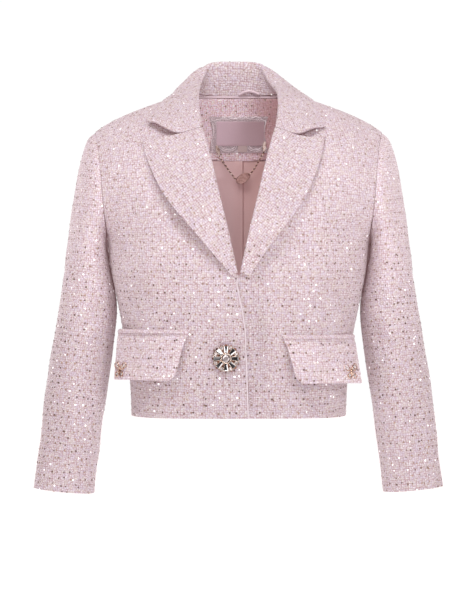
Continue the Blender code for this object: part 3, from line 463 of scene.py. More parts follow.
def read(items, name, width=1, kind=float):
    """One value, or a few, of each item of a mesh, as an array."""
    values = np.empty(len(items) * width, dtype=kind)
    items.foreach_get(name, values)
    return values.reshape(-1, width) if width > 1 else values


def corners_of(mesh):
    """The mesh's corners as rows of x, y and z."""
    return read(mesh.vertices, "co", 3)


def set_corners(mesh, places):
    """Move the mesh's corners to these places."""
    mesh.vertices.foreach_set("co", places.astype(np.float32).ravel())
    mesh.update()


def full_turn(count):
    """This many angles, evenly all round."""
    return np.linspace(0, 2 * math.pi, count, endpoint=False)


def smooth_path(stops, count):
    """This many points, evenly spaced, on a smooth curve through the stops."""
    stops = [Vector(stop) for stop in stops]
    ends = [2 * stops[0] - stops[1]] + stops + [2 * stops[-1] - stops[-2]]
    fine = []
    for first, start, end, last in zip(ends, ends[1:], ends[2:], ends[3:]):
        for step in range(16):
            part = step / 16
            fine.append(0.5 * (
                2 * start + (end - first) * part
                + (2 * first - 5 * start + 4 * end - last) * part ** 2
                + (3 * start - first - 3 * end + last) * part ** 3
            ))
    fine.append(stops[-1])
    lengths = np.cumsum([0] + [(b - a).length for a, b in zip(fine, fine[1:])])
    wanted = np.linspace(0, lengths[-1], count)
    columns = [np.interp(wanted, lengths, [point[axis] for point in fine]) for axis in range(3)]
    return [Vector(point) for point in zip(*columns)]


def path_length(points):
    """The length along points."""
    return sum((b - a).length for a, b in zip(points, points[1:]))


def add_tube(shape, points, radius, sides=8, closed=False):
    """A round tube along points, added to a bmesh."""
    count = len(points)
    rings, side = [], None
    for index, point in enumerate(points):
        before = points[(index - 1) % count] if closed or index else point
        after = points[(index + 1) % count] if closed or index < count - 1 else point
        along = (after - before).normalized()
        if side is None:
            side = along.orthogonal()
        side = (side - along * side.dot(along)).normalized()
        across = along.cross(side)
        size = radius(index / (count - 1)) if callable(radius) else radius
        rings.append([
            shape.verts.new(point + size * (math.cos(turn) * side + math.sin(turn) * across))
            for turn in full_turn(sides)
        ])
    for index in range(count if closed else count - 1):
        low, high = rings[index], rings[(index + 1) % count]
        for turn in range(sides):
            shape.faces.new((low[turn], low[turn - 1], high[turn - 1], high[turn]))
    if not closed:
        shape.faces.new(rings[0])
        shape.faces.new(rings[-1][::-1])


# --- The hanging chain: two lengths from the leaf tabs to the oval tag -------------------------------
LINK_PITCH = 0.0033
CHAINS = {
    RIGHT: (
        (-0.02704, 0.09009, -0.08307), (-0.02624, 0.08994, -0.08576), (-0.02309, 0.08894, -0.09020),
        (-0.01822, 0.09044, -0.09748), (-0.01282, 0.09175, -0.10517), (-0.00838, 0.09251, -0.11046),
        (-0.00539, 0.09304, -0.11472), (-0.00308, 0.09304, -0.11592),
    ),
    LEFT: (
        (0.03652, 0.08799, -0.07757), (0.03613, 0.08793, -0.08028), (0.03360, 0.08685, -0.08342),
        (0.02939, 0.08882, -0.09102), (0.02529, 0.09033, -0.09810), (0.02149, 0.09134, -0.10367),
        (0.01880, 0.09304, -0.10674), (0.01684, 0.09304, -0.10846),
    ),
}


# --- Cloth -----------------------------------------------------------------------------------------
def smoothstep(low, high, value):
    """How far the value is on its way from low to high, eased at both ends."""
    part = np.clip((value - low) / (high - low), 0, 1)
    return part * part * (3 - 2 * part)


def unit(rows):
    """Rows of directions, each made 1 long."""
    return rows / np.maximum(np.linalg.norm(rows, axis=1, keepdims=True), 1e-9)


TRUNK_MIDDLE_Y = -0.006
TRUNK_HALF_WIDTH, TRUNK_HALF_DEPTH = 0.175, 0.108
ARM_TOP = np.array((0.195, 0.005, -0.090))
ARM_END = np.array((0.2425, -0.013, -0.556))


def trunk_outward(places):
    """Level directions away from the trunk's upright middle line."""
    across = places[:, 0] / TRUNK_HALF_WIDTH ** 2
    deep = (places[:, 1] - TRUNK_MIDDLE_Y) / TRUNK_HALF_DEPTH ** 2
    return unit(np.stack([across, deep, np.zeros(len(places))], 1))


def sleeve_outward(places, side):
    """Directions away from the middle line of a sleeve."""
    top, end = ARM_TOP * (side, 1, 1), ARM_END * (side, 1, 1)
    along = (end - top) / np.linalg.norm(end - top)
    reach = places - top
    return unit(reach - np.outer(reach @ along, along))


# Which coordinate goes across a view, and the way out of the cloth towards it.
VIEWS = {"front": (0, (0, -1, 0)), "back": (0, (0, 1, 0)), "right": (1, (-1, 0, 0)), "left": (1, (1, 0, 0))}
# Each piece of the jacket's folds as seen from one view: depth, width and path. The depth is how far
# a fold sinks in, below nothing for a ridge, and the path's points are (across, height).
FOLDS = {
    # hollows beside the lapels, where the fronts give under them
    ("front", "front"): (
        (0.0062, 0.020, ((-0.105, -0.125), (-0.082, -0.168), (-0.064, -0.200), (-0.036, -0.236))),
        (0.0044, 0.018, ((0.078, -0.190), (0.050, -0.222), (0.026, -0.252))),
    ),
    # soft upright falls over the chest and down from the button
    ("trunk", "front"): (
        (-0.0022, 0.022, ((-0.118, -0.150), (-0.122, -0.215), (-0.112, -0.290))),
        (0.0018, 0.018, ((-0.145, -0.175), (-0.142, -0.240), (-0.146, -0.310))),
        (-0.0020, 0.024, ((0.108, -0.140), (0.118, -0.210), (0.106, -0.300))),
        (0.0016, 0.016, ((0.148, -0.165), (0.140, -0.235), (0.145, -0.315))),
        (0.0020, 0.013, ((-0.010, -0.262), (-0.018, -0.300), (-0.016, -0.345))),
        (0.0014, 0.012, ((0.026, -0.285), (0.024, -0.340), (0.032, -0.400))),
        (0.0016, 0.012, ((-0.045, -0.395), (-0.050, -0.452))),
        (-0.0014, 0.012, ((-0.022, -0.400), (-0.020, -0.452))),
        (0.0014, 0.011, ((0.052, -0.405), (0.056, -0.452))),
        (-0.0012, 0.014, ((-0.095, -0.415), (-0.100, -0.452))),
        (-0.0012, 0.015, ((0.088, -0.418), (0.094, -0.452))),
    ),
    # the back: a soft fall below each shoulder blade and a slack drift at the waist
    ("trunk", "back"): (
        (-0.0025, 0.026, ((-0.085, -0.120), (-0.095, -0.210), (-0.082, -0.330))),
        (-0.0023, 0.024, ((0.090, -0.130), (0.098, -0.220), (0.088, -0.340))),
        (-0.0020, 0.018, ((-0.120, -0.285), (-0.040, -0.300), (0.030, -0.292))),
        (-0.0018, 0.016, ((0.020, -0.345), (0.080, -0.338), (0.130, -0.350))),
        (-0.0016, 0.014, ((-0.060, -0.395), (-0.064, -0.452))),
        (-0.0016, 0.014, ((0.050, -0.400), (0.048, -0.452))),
    ),
    # the lining hangs a little slack below the neck facing
    ("lining", "back"): (
        (0.0016, 0.010, ((-0.030, -0.095), (-0.026, -0.150), (-0.030, -0.220))),
        (0.0014, 0.006, ((-0.046, -0.104), (-0.028, -0.116), (-0.016, -0.112))),
        (0.0014, 0.009, ((0.032, -0.095), (0.036, -0.140), (0.028, -0.210))),
    ),
    # the sleeves: slack at the inner elbow, longer falls on the outside and back
    ("sleeve_right", "front"): (
        (0.0030, 0.011, ((-0.186, -0.300), (-0.214, -0.322), (-0.236, -0.330))),
        (0.0024, 0.010, ((-0.192, -0.352), (-0.222, -0.362))),
        (-0.0020, 0.012, ((-0.188, -0.328), (-0.216, -0.343), (-0.240, -0.346))),
        (0.0018, 0.012, ((-0.238, -0.405), (-0.252, -0.450), (-0.258, -0.505))),
        (-0.0018, 0.013, ((-0.212, -0.400), (-0.222, -0.455), (-0.224, -0.520))),
        (0.0016, 0.012, ((-0.222, -0.170), (-0.228, -0.230), (-0.224, -0.280))),
    ),
    ("sleeve_left", "front"): (
        (0.0028, 0.011, ((0.184, -0.285), (0.210, -0.305), (0.234, -0.310))),
        (0.0026, 0.010, ((0.188, -0.340), (0.214, -0.356), (0.238, -0.360))),
        (-0.0020, 0.012, ((0.186, -0.312), (0.212, -0.330), (0.238, -0.334))),
        (0.0018, 0.012, ((0.236, -0.395), (0.246, -0.440), (0.250, -0.500))),
        (-0.0018, 0.013, ((0.210, -0.405), (0.220, -0.460), (0.222, -0.525))),
        (0.0016, 0.012, ((0.222, -0.165), (0.230, -0.225), (0.226, -0.270))),
    ),
    ("sleeve_right", "right"): (
        (0.0022, 0.013, ((-0.020, -0.225), (0.004, -0.260), (0.010, -0.310))),
        (-0.0020, 0.014, ((0.018, -0.330), (-0.002, -0.395), (-0.006, -0.470))),
    ),
    ("sleeve_left", "left"): (
        (0.0022, 0.013, ((-0.016, -0.235), (0.006, -0.275), (0.008, -0.320))),
        (-0.0020, 0.014, ((0.014, -0.345), (-0.004, -0.405), (-0.010, -0.480))),
    ),
    ("sleeve_right", "back"): (
        (0.0026, 0.012, ((-0.262, -0.335), (-0.232, -0.350), (-0.205, -0.338))),
        (-0.0020, 0.012, ((-0.264, -0.362), (-0.236, -0.376), (-0.210, -0.370))),
    ),
    ("sleeve_left", "back"): (
        (0.0026, 0.012, ((0.262, -0.325), (0.234, -0.342), (0.206, -0.332))),
        (-0.0020, 0.012, ((0.266, -0.355), (0.238, -0.368), (0.212, -0.360))),
    ),
}


def path_distance(across, height, path):
    """Distance to a path and how far along it the nearest place is, from 0 to 1."""
    best = np.full(len(across), 1e9)
    part_along = np.zeros(len(across))
    stops = np.array(path)
    steps = np.linalg.norm(np.diff(stops, axis=0), axis=1)
    starts = np.concatenate([[0], np.cumsum(steps)])
    for index, step in enumerate(steps):
        way = (stops[index + 1] - stops[index]) / step
        reach = np.stack([across, height], 1) - stops[index]
        along = np.clip(reach @ way, 0, step)
        off = np.linalg.norm(reach - np.outer(along, way), axis=1)
        nearer = off < best
        best = np.where(nearer, off, best)
        part_along = np.where(nearer, (starts[index] + along) / starts[-1], part_along)
    return best, part_along


def fold_sink(places, out, groups):
    """How far the folds of these groups sink each place."""
    sink = np.zeros(len(places))
    for (group, view), folds in FOLDS.items():
        if group in groups:
            axis, facing = VIEWS[view]
            shown = smoothstep(0.10, 0.60, out @ np.array(facing))
            for depth, width, path in folds:
                off, along = path_distance(places[:, axis], places[:, 2], path)
                fade = 0.35 + 0.65 * np.sin(np.pi * np.clip(along, 0.04, 0.96)) ** 0.7
                sink += depth * fade * shown * np.exp(-((off / width) ** 2))
    return sink


def ripple(places, size, seed):
    """Slow uneven drifts, between 0 and 1, of about this size."""
    angles = np.random.default_rng(seed).uniform(0, 2 * math.pi, (5, 4))
    total = np.zeros(len(places))
    for lean, turn, phase, stretch in angles:
        way = np.array((math.cos(turn) * math.cos(lean), math.sin(turn) * math.cos(lean), math.sin(lean)))
        total += np.sin(places @ way * (2 * math.pi / size) * (0.8 + 0.07 * stretch) + phase)
    return 0.5 + total / 10


# The armhole seam's plane seen from the front: a point on it, and how steeply it leans.
ARMHOLE_X, ARMHOLE_HEIGHT = 0.200, -0.020
ARMHOLE_ACROSS, ARMHOLE_LEAN = 0.985, 0.17
TRUNK_DRIFT, SLEEVE_DRIFT = 0.0020, 0.0026


def cap_distance(places):
    """Distance past the plane of the nearer armhole seam; below nothing on the trunk's side."""
    across, height = np.abs(places[:, 0]) - ARMHOLE_X, places[:, 2] - ARMHOLE_HEIGHT
    return across * ARMHOLE_ACROSS - height * ARMHOLE_LEAN


def soften_trunk(places, groups):
    """Press folds and a slow drift into the trunk, fading out at the shoulders and the armholes."""
    out, height = trunk_outward(places), places[:, 2]
    fade = np.maximum(smoothstep(-0.205, -0.240, height), smoothstep(0.002, -0.030, cap_distance(places)))
    fade = fade * smoothstep(-0.035, -0.085, height)
    sink = fold_sink(places, out, groups) - TRUNK_DRIFT * ripple(places, 0.085, 4)
    return places - out * (sink * fade)[:, None]


def soften_sleeve(places, side):
    """Press folds and a slow drift into a sleeve, fading out at the armhole."""
    out = sleeve_outward(places, side)
    fade = smoothstep(0.004, 0.045, cap_distance(places))
    drift = ripple(places, 0.070, 9 + side) - 0.5
    sink = fold_sink(places, out, [f"sleeve_{SIDE_NAMES[side]}"]) + SLEEVE_DRIFT * drift
    return places - out * (sink * fade)[:, None]


def leave(places):
    """Trims lie as they are."""
    return places


def merged(node):
    """A copy of a node's own faces, its corners merged and its triangles joined to squares."""
    shape = bmesh.new()
    shape.from_mesh(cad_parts[node].data)
    bmesh.ops.remove_doubles(shape, verts=shape.verts, dist=1e-6)
    bmesh.ops.join_triangles(
        shape, faces=shape.faces, angle_face_threshold=math.radians(40), angle_shape_threshold=math.pi,
    )
    return shape


SHARP = 50  # degrees between faces at a cloth's edge
SEAM_REACH = 0.0003
SOFT_RIM = 0.0006
SIDE_STEP = 3.0  # how far apart the weave's map sets a cloth's sides


def mark_sides(shape):
    """Keep sharp edges sharp, cut the weave's map there and number the sides by size."""
    crease = shape.edges.layers.float.new("crease_edge")
    number = shape.faces.layers.int.new("side_number")
    for edge in shape.edges:
        if len(edge.link_faces) == 2 and edge.calc_face_angle() > math.radians(SHARP):
            edge[crease] = 1.0
            edge.seam = True
    groups, seen = [], set()
    for face in shape.faces:
        if face in seen:
            continue
        group, queue = [], [face]
        seen.add(face)
        while queue:
            here = queue.pop()
            group.append(here)
            for edge in here.edges:
                if not edge.seam:
                    for beyond in edge.link_faces:
                        if beyond not in seen:
                            seen.add(beyond)
                            queue.append(beyond)
        groups.append(group)
    groups.sort(key=lambda group: -sum(face.calc_area() for face in group))
    for index, group in enumerate(groups):
        for face in group:
            face[number] = index
    return len(groups)


def unwrap(mesh):
    """Lay each side out flat."""
    worker = placed("worker", mesh)
    bpy.context.view_layer.objects.active = worker
    worker.select_set(True)
    bpy.ops.object.mode_set(mode="EDIT")
    bpy.ops.mesh.select_all(action="SELECT")
    bpy.ops.uv.unwrap(method="CONFORMAL", margin=0.001)
    bpy.ops.object.mode_set(mode="OBJECT")
    bpy.data.objects.remove(worker)


def face_corners(mesh):
    """The corner of the mesh at each corner of its faces."""
    return read(mesh.loops, "vertex_index", kind=np.int32)


def by_corner(mesh, rows):
    """What each face has, given to each of its corners."""
    return np.repeat(rows, read(mesh.polygons, "loop_total", kind=np.int32), axis=0)


def side_numbers(mesh):
    """Each face's side: 0 is the cloth's face, 1 its back, and the rims come after."""
    return read(mesh.attributes["side_number"].data, "value", kind=np.int32)


def weave_spots(mesh):
    """The weave's map, a spot for each corner of a face."""
    return read(mesh.uv_layers["weave"].data, "uv", 2)


def true_size(mesh, flat, mine):
    """Metres to one step of the map, from the edges of one side."""
    starts = read(mesh.polygons, "loop_start", kind=np.int32)
    totals = read(mesh.polygons, "loop_total", kind=np.int32)
    following = np.arange(len(mesh.loops)) + 1
    following[starts + totals - 1] = starts
    whole = np.zeros((len(mesh.loops), 2))
    whole[mine] = flat
    real, mapped = (
        np.linalg.norm(spots[following] - spots, axis=1)[mine].sum()
        for spots in (corners_of(mesh)[face_corners(mesh)], whole)
    )
    return real / mapped


def lay_weave(mesh, count, grain, turn):
    """Size the weave's map in metres, its upright threads along the grain, its sides set apart."""
    spots, numbers = weave_spots(mesh), by_corner(mesh, side_numbers(mesh))
    places = corners_of(mesh)[face_corners(mesh)]
    for index in range(count):
        mine = numbers == index
        flat = spots[mine]
        columns = np.column_stack([flat, np.ones(len(flat))])
        slope = np.linalg.lstsq(columns, places[mine], rcond=None)[0][:2]
        lean = slope @ np.array(grain)
        angle = math.atan2(lean[0], lean[1]) + turn
        spin = np.array(((math.cos(angle), -math.sin(angle)), (math.sin(angle), math.cos(angle))))
        flat = (flat - flat.mean(0)) @ spin.T
        if index > 1:
            size = math.sqrt(max(np.linalg.norm(np.cross(slope[0], slope[1])), 1e-8))
        else:
            size = true_size(mesh, flat, mine)
        spots[mine] = flat * size + (SIDE_STEP * index, 0.0)
    mesh.uv_layers["weave"].data.foreach_set("uv", spots.ravel())


Cloth = namedtuple(
    "Cloth", "node level grain materials slot held rests_on soften sequins turn",
    defaults=((), leave, 0, 0.0),
)
UP = (0, 0, 1)
ACROSS = (1, 0, 0)
SLEEVE_UP = {side: (-0.10 * side, 0.03, 0.994) for side in SIDE_NAMES}
LAPEL_UP = {side: (0.59 * side, 0.0, 0.81) for side in SIDE_NAMES}
LINED = (TWEED, PEACH_SATIN)
LINED_SLEEVE = (SLEEVE_TWEED, PEACH_SATIN)
TRIM = (TRIM_TWEED,)
# The strip that the hanging loop is rolled from: the roll's girth and its length.
ROLLED_LOOP = (0.0132, 0.0310)
# Sides that lie next to each other on one cut, where a pressed pleat parts them.
PANELS = {"back_lining_cloth": (0, 1)}
on_front = partial(soften_trunk, groups=("front", "trunk"))
on_trunk = partial(soften_trunk, groups=("trunk",))
on_lining = partial(soften_trunk, groups=("trunk", "lining"))
# The last number is the sequins' seed, where a cloth has sequins.
CLOTHS = [
    Cloth("back", 3, UP, LINED, "tweed", "hung", (), on_trunk, 1),
    Cloth("collar", 2, ACROSS, TRIM, "tweed", "folded", ("back",), sequins=2, turn=math.pi / 2),
    Cloth("back_neck_facing", 2, UP, (NECK_TWEED,), "tweed", "laid", ("back",), sequins=3),
    Cloth("hanging_loop", 1, ACROSS, (ROLLED_TWEED,), "tweed", "folded", ("back_neck_facing",)),
    Cloth("back_lining", 3, UP, (PEACH_SATIN,), "lining_satin", "hung", ("back",), on_lining),
    Cloth("neck_label", 2, UP, (LABEL_SATIN,), "label_satin", "laid", ("label_lace_edge",)),
    Cloth("label_lace_edge", 2, UP, (LACE,), "pale_lace", "laid", ("back_neck_facing",)),
    Cloth("size_tab", 2, UP, (SIZE_RIBBON,), "pale_lace", "laid", ("label_lace_edge",)),
]
for side, word in SIDE_NAMES.items():
    front, upper, under = f"front_{word}", f"upper_sleeve_{word}", f"under_sleeve_{word}"
    along_arm, on_sleeve = SLEEVE_UP[side], partial(soften_sleeve, side=side)
    CLOTHS += [
        Cloth(front, 3, UP, LINED, "tweed", "hung", ("back",), on_front, 10 + side),
        Cloth(upper, 3, along_arm, LINED_SLEEVE, "tweed", "hung", (front, "back"), on_sleeve, 20 + side),
        Cloth(under, 3, along_arm, LINED_SLEEVE, "tweed", "hung", (upper,), on_sleeve, 30 + side),
        Cloth(f"lapel_{word}", 2, LAPEL_UP[side], TRIM, "tweed", "folded", (front,), on_trunk, 40 + side),
        Cloth(f"welt_{word}", 1, UP, TRIM, "tweed", "folded", (front,), on_trunk),
        Cloth(f"flap_{word}", 2, UP, TRIM, "tweed", "hung", (front,), on_trunk, 50 + side),
    ]


def cut_size(mesh):
    """The cloth's width and length laid out flat by its face side, and the area of one side."""
    spots, numbers = weave_spots(mesh), by_corner(mesh, side_numbers(mesh))
    width = length = 0.0
    for number in PANELS.get(mesh.name, (0,)):
        mine = spots[numbers == number]
        width += float(np.ptp(mine[:, 0]))
        length = max(length, float(np.ptp(mine[:, 1])))
    return width, length, float(read(mesh.polygons, "area").sum() / 2)


def close_seams(mesh):
    """Let the rims reach the next piece, so that no light falls through a seam."""
    rim = by_corner(mesh, side_numbers(mesh)) > 1
    ways = by_corner(mesh, read(mesh.polygons, "normal", 3))
    push = np.zeros((len(mesh.vertices), 3))
    np.add.at(push, face_corners(mesh)[rim], ways[rim])
    set_corners(mesh, corners_of(mesh) + unit(push) * SEAM_REACH)


Pull = namedtuple("Pull", "node x height wide tall up lift")
# Where an edge lies higher, lower or further off the chest than its solid's.
PULLS = (
    # the notches stand open over fronts that sink a little under them
    Pull("collar", -0.116, -0.051, 0.020, 0.013, 0.0060, 0.0042),
    Pull("lapel_right", -0.114, -0.060, 0.021, 0.014, -0.0105, 0.0012),
    Pull("front_right", -0.106, -0.060, 0.020, 0.010, 0.0, -0.0060),
    Pull("collar", 0.098, -0.056, 0.014, 0.010, 0.0010, 0.0042),
    Pull("lapel_left", 0.098, -0.061, 0.015, 0.012, -0.0095, 0.0012),
    Pull("front_left", 0.092, -0.063, 0.016, 0.009, 0.0, -0.0050),
    # the right front's edge stands proud of the left front
    Pull("front_right", 0.0125, -0.352, 0.0044, 0.095, 0.0, 0.0024),
    Pull("front_left", 0.0235, -0.350, 0.0105, 0.085, 0.0, -0.0075),
    Pull("front_left", 0.0155, -0.350, 0.0050, 0.085, 0.0, -0.0014),
    Pull("front_left", 0.0120, -0.306, 0.0080, 0.026, 0.0, -0.0034),
    # the flaps hang free at their lower inner corners and start from under the welts
    Pull("flap_right", -0.086, -0.398, 0.030, 0.024, 0.0, 0.0050),
    Pull("flap_left", 0.078, -0.400, 0.034, 0.026, 0.0, 0.0100),
    Pull("flap_right", -0.105, -0.3375, 0.120, 0.0050, 0.0, -0.0024),
    Pull("flap_left", 0.100, -0.3445, 0.120, 0.0050, 0.0, -0.0024),
    Pull("welt_right", -0.105, -0.3300, 0.120, 0.0028, 0.0, -0.0034),
    Pull("welt_right", -0.105, -0.3350, 0.120, 0.0028, 0.0, 0.0012),
    Pull("welt_left", 0.100, -0.3370, 0.120, 0.0028, 0.0, -0.0034),
    Pull("welt_left", 0.100, -0.3420, 0.120, 0.0028, 0.0, 0.0012),
)


FRONT_LIMIT = 0.02  # what lies further back than this isn't on the front


def nearness(spots, pull):
    """How far a pull takes each spot along, from 0 to 1."""
    off = ((spots[:, 0] - pull.x) / pull.wide) ** 2 + ((spots[:, 2] - pull.height) / pull.tall) ** 2
    return np.exp(-off) * (spots[:, 1] < FRONT_LIMIT)


def pull_edges(mesh, node):
    """Slide and lift parts of a cloth along its own surface."""
    places, face = corners_of(mesh), side_numbers(mesh) == 0
    middles, ways = read(mesh.polygons, "center", 3)[face], read(mesh.polygons, "normal", 3)[face]
    for pull in PULLS:
        if pull.node == node:
            out = (ways * (nearness(middles, pull) * (ways[:, 1] < -0.2))[:, None]).sum(0)
            out /= np.linalg.norm(out)
            up = np.array(UP) - out * out[2]
            places = places + nearness(places, pull)[:, None] * (up * pull.up + out * pull.lift)
    set_corners(mesh, places)


# The right front's edge from the hem up to the lapels' break, as (height, x).
FRONT_EDGE = (
    (-0.452, 0.0139), (-0.3317, 0.0098), (-0.3046, 0.0057), (-0.2707, -0.0016), (-0.2580, -0.0006),
)


def front_edge(height):
    """Where the right front's edge lies at a height, as x."""
    heights, edge = zip(*FRONT_EDGE)
    return np.interp(height, heights, edge)


def lean_front_edge(mesh):
    """Let the right front's edge lean in towards the break of the lapels."""
    places = corners_of(mesh)
    across, out, up = places.T
    front = out < FRONT_LIMIT
    levels = np.linspace(-0.454, -0.268, 48)
    edge = np.array([across[(np.abs(up - level) < 0.004) & front].max() for level in levels])
    edge = np.interp(up, levels, edge)
    near = smoothstep(edge - 0.030, edge, across) * smoothstep(-0.262, -0.272, up) * front
    places[:, 0] += near * np.minimum(front_edge(up) - edge, 0.0)
    set_corners(mesh, places)


def build_cloth(cloth):
    """A thin shell with soft rims on its solid's own form, with its folds pressed in."""
    shape = merged(cloth.node)
    count = mark_sides(shape)
    mesh = mesh_of(shape)
    while mesh.uv_layers:
        mesh.uv_layers.remove(mesh.uv_layers[0])
    mesh.uv_layers.new(name="weave")
    unwrap(mesh)
    lay_weave(mesh, count, cloth.grain, cloth.turn)
    mesh = finished(mesh, "SUBSURF", levels=cloth.level, render_levels=cloth.level)
    close_seams(mesh)
    mesh = softened(mesh, SOFT_RIM, SHARP)
    set_corners(mesh, cloth.soften(corners_of(mesh)))
    pull_edges(mesh, cloth.node)
    if cloth.node == "front_right":
        lean_front_edge(mesh)
    if len(cloth.materials) > 1:
        mesh.polygons.foreach_set("material_index", (side_numbers(mesh) == 1).astype(np.int32))
    piece = keep(f"{cloth.node}_cloth", mesh, *cloth.materials, replaces=[cloth.node], slot=cloth.slot)
    width, length, area = cut_size(mesh)
    if cloth.node == "hanging_loop":
        width, length = ROLLED_LOOP
    return piece


cloths = {cloth.node: build_cloth(cloth) for cloth in CLOTHS}


# --- What repeats: sequins in loose rows, stitches and beads along lines ------------------------------
def new_maker(name, inputs):
    """A Geometry Nodes tree with named inputs, and its input node."""
    group = bpy.data.node_groups.new(name, "GeometryNodeTree")
    group.interface.new_socket("Ground", in_out="INPUT", socket_type="NodeSocketGeometry")
    for word in inputs:
        group.interface.new_socket(word, in_out="INPUT", socket_type="NodeSocketFloat")
    group.interface.new_socket("Result", in_out="OUTPUT", socket_type="NodeSocketGeometry")
    tree = Tree(group)
    return group, tree, tree.add("NodeGroupInput")


def end_maker(tree, instances, material):
    """Realize what a tree has set out, in its material."""
    whole = tree.add("GeometryNodeRealizeInstances", {}, instances)
    shown = tree.add("GeometryNodeSetMaterial", {}, whole, Material=material)
    tree.add("NodeGroupOutput", {}, shown)


VECTORS = {"data_type": "FLOAT_VECTOR"}
LOCAL = {"rotation_space": "LOCAL"}
SEQUIN_LIFT = 0.0004


def sequin_maker():
    """Small flat six-sided sequins, sewn on in loose rows along the weave, each a little tilted."""
    names = ("Width", "Height", "Row Spacing", "Column Spacing", "Wander", "Radius", "Tilt", "Left Out",
             "Left Out Higher", "Side", "Seed")
    group, tree, ground = new_maker("sequin_rows", names)
    ask = ground.other
    grid = tree.add(
        "GeometryNodeMeshGrid", {}, Size_X=ask("Width"), Size_Y=ask("Height"),
        Vertices_X=ask("Width") / ask("Column Spacing"), Vertices_Y=ask("Height") / ask("Row Spacing"),
    )
    points = tree.add("GeometryNodeMeshToPoints", {}, grid)
    place = tree.add("GeometryNodeInputPosition")
    wander = tree.shade(tree.chance((-1.0, -0.45, 0.0), (1.0, 0.45, 0.0), ask("Seed")), ask("Wander"))
    side = tree.add("ShaderNodeCombineXYZ", {}, ask("Side") * SIDE_STEP, 0.0, 0.0)
    spot = tree.vector("ADD", tree.vector("ADD", place, wander), side)
    weave = tree.add("GeometryNodeInputNamedAttribute", VECTORS, "weave")
    found = tree.add("GeometryNodeSampleUVSurface", VECTORS, ground, place, weave, spot)
    normal = tree.add("GeometryNodeInputNormal")
    facing = tree.add("GeometryNodeSampleUVSurface", VECTORS, ground, normal, weave, spot)
    for name, value in (("spot", found), ("facing", facing)):
        points = tree.add("GeometryNodeStoreNamedAttribute", VECTORS, points, Name=name, Value=value)
    missing = tree.add("FunctionNodeBooleanMath", {"operation": "NOT"}, found.other("Is Valid"))
    left_out = ask("Left Out") + tree.rise("Z", *SEQUIN_RISE, place=found) * ask("Left Out Higher")
    skipped = left_out > tree.chance(0.0, 1.0, ask("Seed") + 1)
    dropped = tree.add("FunctionNodeBooleanMath", {"operation": "OR"}, missing, skipped)
    points = tree.add("GeometryNodeDeleteGeometry", {}, points, dropped)
    spot = tree.add("GeometryNodeInputNamedAttribute", VECTORS, "spot")
    facing = tree.add("GeometryNodeInputNamedAttribute", VECTORS, "facing")
    lifted = tree.vector("ADD", spot, tree.shade(facing, SEQUIN_LIFT))
    points = tree.add("GeometryNodeSetPosition", {}, points, Position=lifted)
    flat = tree.add("FunctionNodeAlignRotationToVector", {"axis": "Z"}, Vector=facing)
    lean = tree.shade(tree.chance((-1.0, -1.0, -3.0), (1.0, 1.0, 3.0), ask("Seed") + 2), ask("Tilt"))
    leaning = tree.add("FunctionNodeRotateRotation", LOCAL, flat, lean)
    size = tree.chance(0.62, 1.15, ask("Seed") + 3)
    disc = tree.add("GeometryNodeMeshCircle", {"fill_type": "NGON"}, 6, ask("Radius"))
    sewn = tree.add("GeometryNodeInstanceOnPoints", {}, points, Instance=disc, Rotation=leaning, Scale=size)
    sewn = tree.add("GeometryNodeStoreNamedAttribute", {"data_type": "FLOAT", "domain": "INSTANCE"},
                    sewn, Name="tone", Value=tree.chance(0.0, 1.0, ask("Seed") + 4))
    end_maker(tree, sewn, SEQUIN)
    return group


def bead_maker(material):
    """Round or long beads, stitches or knots, evenly along a line."""
    group, tree, ground = new_maker(f"beads_of_{material.name}", ("Spacing", "Thickness", "Length"))
    ask = ground.other
    line = tree.add("GeometryNodeMeshToCurve", {}, ground)
    points = tree.add("GeometryNodeCurveToPoints", {"mode": "LENGTH"}, line, Length=ask("Spacing"))
    bead = tree.add("GeometryNodeMeshUVSphere", {}, 8, 5, 0.5)
    size = tree.add("ShaderNodeCombineXYZ", {}, ask("Thickness"), ask("Thickness"), ask("Length"))
    laid = tree.add("GeometryNodeInstanceOnPoints", {}, points, Instance=bead,
                    Rotation=points.other("Rotation"), Scale=size)
    end_maker(tree, laid, material)
    return group


def grown(mesh, group, sizes):
    """What a Geometry Nodes tree makes from a mesh, as a plain mesh."""
    worker = placed("worker", mesh)
    maker = worker.modifiers.new("maker", "NODES")
    maker.node_group = group
    sockets = {
        item.name: item.identifier for item in group.interface.items_tree
        if item.item_type == "SOCKET" and item.in_out == "INPUT"
    }
    for name, value in sizes.items():
        maker[sockets[name]] = float(value)
    return plain(worker)


def line_mesh(points, closed=False):
    """A mesh of edges alone, through the points."""
    mesh = bpy.data.meshes.new("line")
    edges = [(index, index + 1) for index in range(len(points) - 1)]
    if closed:
        edges.append((len(points) - 1, 0))
    mesh.from_pydata([tuple(point) for point in points], edges, [])
    return mesh


